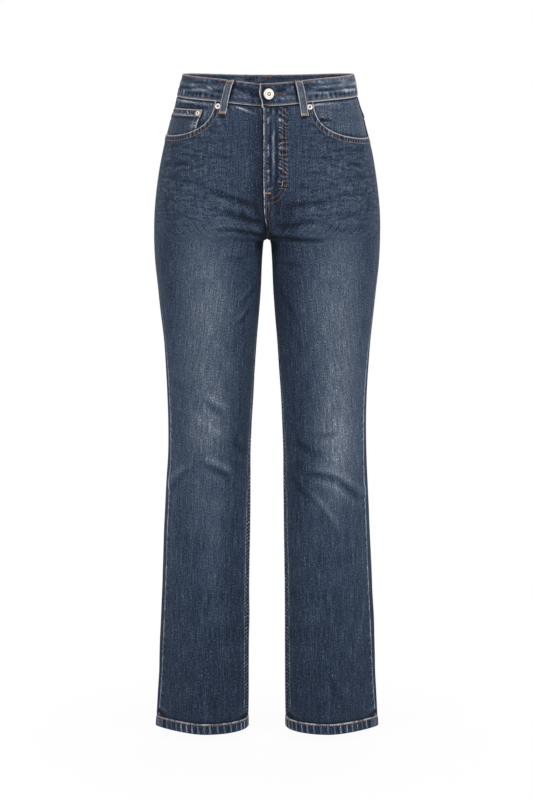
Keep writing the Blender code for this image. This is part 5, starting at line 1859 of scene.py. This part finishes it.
def sewTack(group, tree, lines, reach=2.2, pitch=0.62, width=0.66):
    # a bartack: close stitches across the line
    places, outs = castOnto(tree, *lines)
    at = np.arange(pitch / 2, runAlong(places)[-1], pitch)[:, None]
    centres, normals, runs = alongPath(places, outs, at)
    aside = np.cross(normals, unit(runs))
    rings = len(ringPlaces)
    centres = centres + (ringPlaces - 0.5)[None, :, None] * reach * aside
    full = lambda values: np.repeat(values, rings, axis=1)
    layThread(group, centres + 0.12 * normals, full(normals), full(aside), width)


def samples(first, last, step=1.0):
    return np.linspace(first, last, max(3, int(abs(last - first) / step)))


# Waistband: one row along its foot, one along its head, and one down the lapped end
bandRows = {"foot": 2.2, "head": 2.0, "end": 2.6}


def bandLines(up, first, last, side, away=14):
    fraction = samples(first * halfRing, last * halfRing) / halfRing
    heights = waistSeam(fraction) + up
    return overBody(heights, fraction * halfLength(heights), side, away)


for away in (14, -14):
    for up in (bandRows["foot"], jeans["bandHeight"] - bandRows["head"]):
        lapFrom = band["lapEnd"] + bandRows["end"] / halfRing
        sewRow("WaistbandStitches", bandTree, bandLines(up, lapFrom, 0.997, 1, away))
        sewRow("WaistbandStitches", bandTree, bandLines(up, 1.0, 0.012, -1, away))
endHeights = samples(bandRows["foot"] + 2, jeans["bandHeight"] - bandRows["head"] - 2)
endFraction = band["lapEnd"] + bandRows["end"] / halfRing
endHeights = waistSeam(endFraction) + endHeights
sewRow("WaistbandStitches", bandTree, overBody(endHeights, endFraction * halfLength(endHeights)))

# Belt loops: two rows and a bartack at each end
loopRows = {"across": 3.7, "ends": (0.02, 0.98), "tacks": (0.045, 0.955), "tackReach": 4.6}
for name, tree in loops.items():
    loop = beltLoops[name]
    heights, arcs, _ = loopPlaces(loop, np.linspace(*loopRows["ends"], 56))
    for across in (-loopRows["across"], loopRows["across"]):
        sewRow("LoopStitches", tree, overBody(heights, arcs + across, loop["side"]), 2.7, 2.1, 0.66)
    for along in loopRows["tacks"]:
        height, arc, _ = loopPlaces(loop, np.array([along]))
        arcs = arc + samples(-loopRows["tackReach"], loopRows["tackReach"], 0.5)
        sewTack("Bartacks", tree, overBody(height, arcs, loop["side"]), 2.4)


# Pocket mouths: two rows that follow the edge


def mouthEdge(sideName, inset):
    fractions, corner = frontFractions(sideName)
    heights = mouthTop(sideName, fractions)[corner:]
    start, end = frontStart(heights, sides[sideName]), sideArc(heights)
    edge = np.stack([start + fractions[corner:] * (end - start), heights], axis=1)
    run = runAlong(edge)
    even = np.linspace(0, run[-1], 220)
    edge = np.stack([np.interp(even, run, edge[:, k]) for k in (0, 1)], axis=1)
    along = unit(np.gradient(edge, axis=0))
    rows = edge + inset * np.stack([along[:, 1], -along[:, 0]], axis=1)
    keep = (rows[:, 1] < frontSeam(rows[:, 0]) - 1.5) & (rows[:, 0] < sideArc(rows[:, 1]) - 2.5)
    return rows[keep, 1], rows[keep, 0]


mouthRows = (2.2, 8.6)
for sideName, tree in frontTrees.items():
    for inset in mouthRows:
        sewRow("MouthStitches", tree, overBody(*mouthEdge(sideName, inset), sides[sideName]))


# Coin pocket: its sides and its turned-over top


def coinLines(arcs, drop):
    # arcs at the waist seam; drop is the way down from the pocket's top
    heights = coinTop(arcs) - drop
    arcs = arcs + coinLean(arcs, drop)
    return overBody(heights, arcs * sideArc(heights) / frontEnd, -1)


coinRows = {"drops": (1.8, 7.6), "insets": ((1.8, 9.5), (8.2, 15)), "from": 3, "to": 44}
coinEnd = frontEnd - coin["sideInset"]
for drop in coinRows["drops"]:
    sewRow("CoinStitches", coinTree, coinLines(samples(coin["start"] + 1.5, coinEnd - 1.5), drop))
for inset, outerInset in coinRows["insets"]:
    for arc in (coin["start"] + inset, coinEnd - outerInset):
        drops = samples(coinRows["from"], coinRows["to"])
        sewRow("CoinStitches", coinTree, coinLines(arc, drops))

coinTacks = (
    (samples(coin["start"] + 0.5, coin["start"] + 10, 0.5), 2.0),
    (coinEnd - 2.0, samples(1.5, 8, 0.5)),
)
for arcs, drops in coinTacks:
    sewTack("Bartacks", coinTree, coinLines(arcs, drops), 1.6, 0.62, 0.6)

# The shield's row beside the fly, and two small tacks
rightTree = frontTrees["Right"]
shieldRow = np.linspace(0, 1, 16)
sewRow("FlyStitches", rightTree, fromFront(-10.4 + 2.8 * shieldRow, -44 - 18 * shieldRow))
sewTack("FlyStitches", rightTree, fromFront(samples(-12.0, -9.8, 0.4), -46.5), 1.2)
facingTree = surfaceTree(facings["Right"])
sewTack("FlyStitches", facingTree, fromFront(-95.6, samples(-32.5, -39, 0.5)), 1.4)

# Fly: one row down its edge, the curved double row of the facing, and bartacks
flyTree = frontTrees["Left"]
flyRows = ((-44, -234, 3.5), (-189, -237, 9.2))  # first and last heights, distance from the edge
for first, last, inset in flyRows:
    heights = samples(first, last)
    sewRow("FlyStitches", flyTree, overBody(heights, frontStart(heights, 1) + inset))
flyCurves = (
    [(22.6, -43), (23.0, -100), (23.8, -140), (22.8, -160), (17.2, -172), (7.6, -178.5), (-3, -180)],
    [(27.8, -43), (28.6, -100), (29.6, -142), (28.2, -163), (21.6, -177), (9.6, -185), (-3, -186.5)],
)
for curve in flyCurves:
    path = roundedPath(curve, 170)
    sewRow("FlyStitches", flyTree, fromFront(path[:, 0], path[:, 1]))
sewTack("Bartacks", flyTree, fromFront(23.2, samples(-153, -160, 0.5)), 1.5)
sewTack("Bartacks", flyTree, fromFront(samples(-4.0, 5.8, 0.5), -171), 2.4)
print("front seams sewn")

# The back loop's head, sewn through to the inside of the band
insideHeight = float(bandTop(1.0)) - 2.4
insideArcs = float(halfLength(insideHeight)) + samples(-7.5, 7.5, 0.5)
sewTack("WaistbandStitches", bandTree, overBody(insideHeight, insideArcs, 1, -14), 2.0)

# Behind: the yokes, the rise seam, the pockets
fellRows = (1.9, 7.4)
for sideName, tree in yokeTrees.items():
    along = np.linspace(0.02, 0.985, 190)
    for up in fellRows:
        heights = yokeSeams(along)[1] + up
        arcs = sideArc(heights) + along * (backEnd(heights) - sideArc(heights))
        sewRow("YokeStitches", tree, overBody(heights, arcs, sides[sideName]))
for inset in fellRows:
    heights = samples(float(yokeSeams(1.0)[1]) - 3, -232)
    sewRow("RiseStitches", backTrees["Left"], overBody(heights, backEnd(heights) - inset))
    heights = samples(float(waistSeam(1.0)) - 2, float(yokeSeams(1.0)[1]) + 3)
    sewRow("RiseStitches", yokeTrees["Left"], overBody(heights, backEnd(heights) - inset))
pocketRows = {"insets": (1.9, 7.2), "from": 0.03, "hemInset": 2.0}
for sideName, tree in pocketTrees.items():
    side = sides[sideName]
    for inset in pocketRows["insets"]:
        near = inset / backPocket["topWidth"]
        drop = inset / backPocket["sides"]
        corners = [(-0.5 + near, pocketRows["from"]), (-0.5 + near, 1 - drop), (0, 1 - drop * 0.87),
                   (0.5 - near, 1 - drop), (0.5 - near, pocketRows["from"])]
        for (startAcross, startDown), (endAcross, endDown) in zip(corners[:-1], corners[1:]):
            t = np.linspace(0, 1, 130)
            across = startAcross + t * (endAcross - startAcross)
            down = startDown + t * (endDown - startDown)
            heights, arcs, _, _ = backPocketPlan(across, down)
            sewRow("BackPocketStitches", tree, overBody(heights, arcs, side))
    for down in (pocketRows["hemInset"], backPocket["hem"] - pocketRows["hemInset"]):
        across = np.linspace(-0.48, 0.48, 150)
        heights, arcs, _, _ = backPocketPlan(across, down / backPocket["sides"])
        sewRow("BackPocketStitches", tree, overBody(heights, arcs, side))
    for across in (-0.47, 0.47):
        downs = samples(1, 10) / backPocket["sides"]
        heights, arcs, _, _ = backPocketPlan(across, downs)
        sewTack("Bartacks", tree, overBody(heights, arcs, side), 2.4)

# Hems: one row round
for sideName, tree in hems.items():
    height = jeans["hemBottom"] + hem["row"]
    total = float(halfLength(height))
    sewRow("HemStitches", tree, overBody(height, samples(0, total - 0.5), sides[sideName]),
           width=1.25)

# Buttonhole: close stitches round the slit and its eye
slit = np.linspace(buttonPlace["arc"] - 3, buttonPlace["arc"] + buttonhole["length"] + 0.5, 60)
turn = np.linspace(-math.pi / 2, math.pi / 2, 16)
holeArcs = np.concatenate([slit, slit[-1] + 1.4 * np.cos(turn), slit[::-1]])
holeRise = 1.9 - 0.5 * smooth(slit[0], slit[-1], slit)
holeRises = np.concatenate([-holeRise, holeRise[-1] * np.sin(turn), holeRise[::-1]])
sewTack("ButtonholeStitches", bandTree, overBody(buttonPlace["height"] + holeRises, holeArcs),
        2.2, 0.6, 0.62)

# Zip teeth on their tape
chain = {"from": -162, "to": -52, "arc": 4, "pitch": 2.1, "reach": 4.6, "width": 1.1}
teeth = samples(chain["from"], chain["to"], chain["pitch"])
sewTack("ZipTeeth", surfaceTree(zipStrip), overBody(teeth, chain["arc"]),
        chain["reach"], chain["pitch"], chain["width"])

threads = {
    "WaistbandStitches": copperThread,
    "LoopStitches": copperThread,
    "Bartacks": tackThread,
    "MouthStitches": mouthThread,
    "CoinStitches": mouthThread,
    "FlyStitches": brownThread,
    "YokeStitches": brownThread,
    "RiseStitches": brownThread,
    "BackPocketStitches": brownThread,
    "HemStitches": copperThread,
    "ButtonholeStitches": holeThread,
    "ZipTeeth": buttonMetal,
}
for name, material in threads.items():
    points, faces = sewn[name]
    metal = material is buttonMetal
    layers = {"hollow": np.full(sum(len(p) for p in points), 0.3)} if metal else None
    piece = makeMesh(name, np.concatenate(points), faces, [material], layers)
    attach(piece, "root")
print("stitches:", sum(len(points) for points, _ in sewn.values()))


# Camera, lamps and floor, in metres
view = {"lens": 80.46, "sensor": 36, "place": (-0.0008, -2.8, -0.232), "downwards": 5.3}
lamps = {
    "Right": {"place": (2.1, -1.9, 0.75), "size": 1.1, "power": 44},
    "Left": {"place": (-2.1, -1.9, 0.75), "size": 1.1, "power": 34},
    "Back": {"place": (0.6, 2.4, 0.8), "size": 1.6, "power": 26},
}
lampTarget = Vector((0, 0, -0.5))
floorSize = {"reach": 8, "below": 14, "shadow": (0.2, 0.5), "darkest": 0.96}

camera = bpy.data.cameras.new("Camera")
camera.lens, camera.sensor_width = view["lens"], view["sensor"]
viewer = putInScene("Camera", camera, view["place"])
viewer.rotation_euler = (math.radians(90 - view["downwards"]), 0, 0)
bpy.context.scene.camera = viewer

for name, lamp in lamps.items():
    light = bpy.data.lights.new(name, "AREA")
    light.size, light.energy = lamp["size"], lamp["power"]
    aim = lampTarget - Vector(lamp["place"])
    lampObject = putInScene(name, light, lamp["place"])
    lampObject.rotation_euler = aim.to_track_quat("-Z", "Y").to_euler()


def seenRay(desk):
    # 1 for rays from the camera, off gloss or through glass
    rays = desk.node("LightPath").outputs
    value = rays["Is Camera Ray"]
    for name in ("Is Glossy Ray", "Is Transmission Ray"):
        value = desk.math("MAXIMUM", value, rays[name])
    return value


def plainShader(desk, kind, colour):
    shader = desk.node(kind)
    shader.inputs["Color"].default_value = (*colour, 1)
    return shader


def mixShaders(desk, output, share, first, second):
    blend = desk.node("MixShader")
    for socket, value in zip(blend.inputs, (share, first.outputs[0], second.outputs[0])):
        desk.feed(socket, value)
    desk.feed(desk.tree.nodes[output].inputs["Surface"], blend.outputs[0])


studio = bpy.data.worlds.new("Studio")
bpy.context.scene.world = studio
desk = NodeDesk("Studio", studio)
seen = desk.tree.nodes["Background"]
seen.inputs["Color"].default_value = (1, 1, 1, 1)
lighting = plainShader(desk, "Background", (0.94, 0.97, 1))
lighting.inputs["Strength"].default_value = 0.34
mixShaders(desk, "World Output", seenRay(desk), lighting, seen)

desk = NodeDesk("White floor")
desk.tree.nodes.remove(desk.tree.nodes["Principled BSDF"])
matte = plainShader(desk, "BsdfDiffuse", (0.9, 0.9, 0.9))
white = plainShader(desk, "Emission", (1, 1, 1))
# the floor is white but for the soft shadow under the jeans
away = desk.node("VectorMath", operation="LENGTH")
desk.feed(away.inputs[0], desk.node("TexCoord").outputs["Object"])
clear = desk.node("MapRange", interpolation_type="SMOOTHSTEP")
first, last = floorSize["shadow"]
limits = {"Value": away.outputs["Value"], "From Min": first, "From Max": last,
          "To Min": floorSize["darkest"], "To Max": 1.0}
for name, value in limits.items():
    desk.feed(clear.inputs[name], value)
share = desk.times(clear.outputs["Result"], seenRay(desk))
mixShaders(desk, "Material Output", share, matte, white)

reach = floorSize["reach"]
floorMesh = bpy.data.meshes.new("Floor")
corners = [(-reach, -reach, 0), (reach, -reach, 0), (reach, reach, 0), (-reach, reach, 0)]
floorMesh.from_pydata(corners, [], [(0, 1, 2, 3)])
floorMesh.materials.append(desk.home)
floor = putInScene("Floor", floorMesh, (0, 0, (jeans["hemBottom"] - floorSize["below"]) * mm))

bpy.context.scene.view_settings.view_transform = "Standard"

print("scene finished")
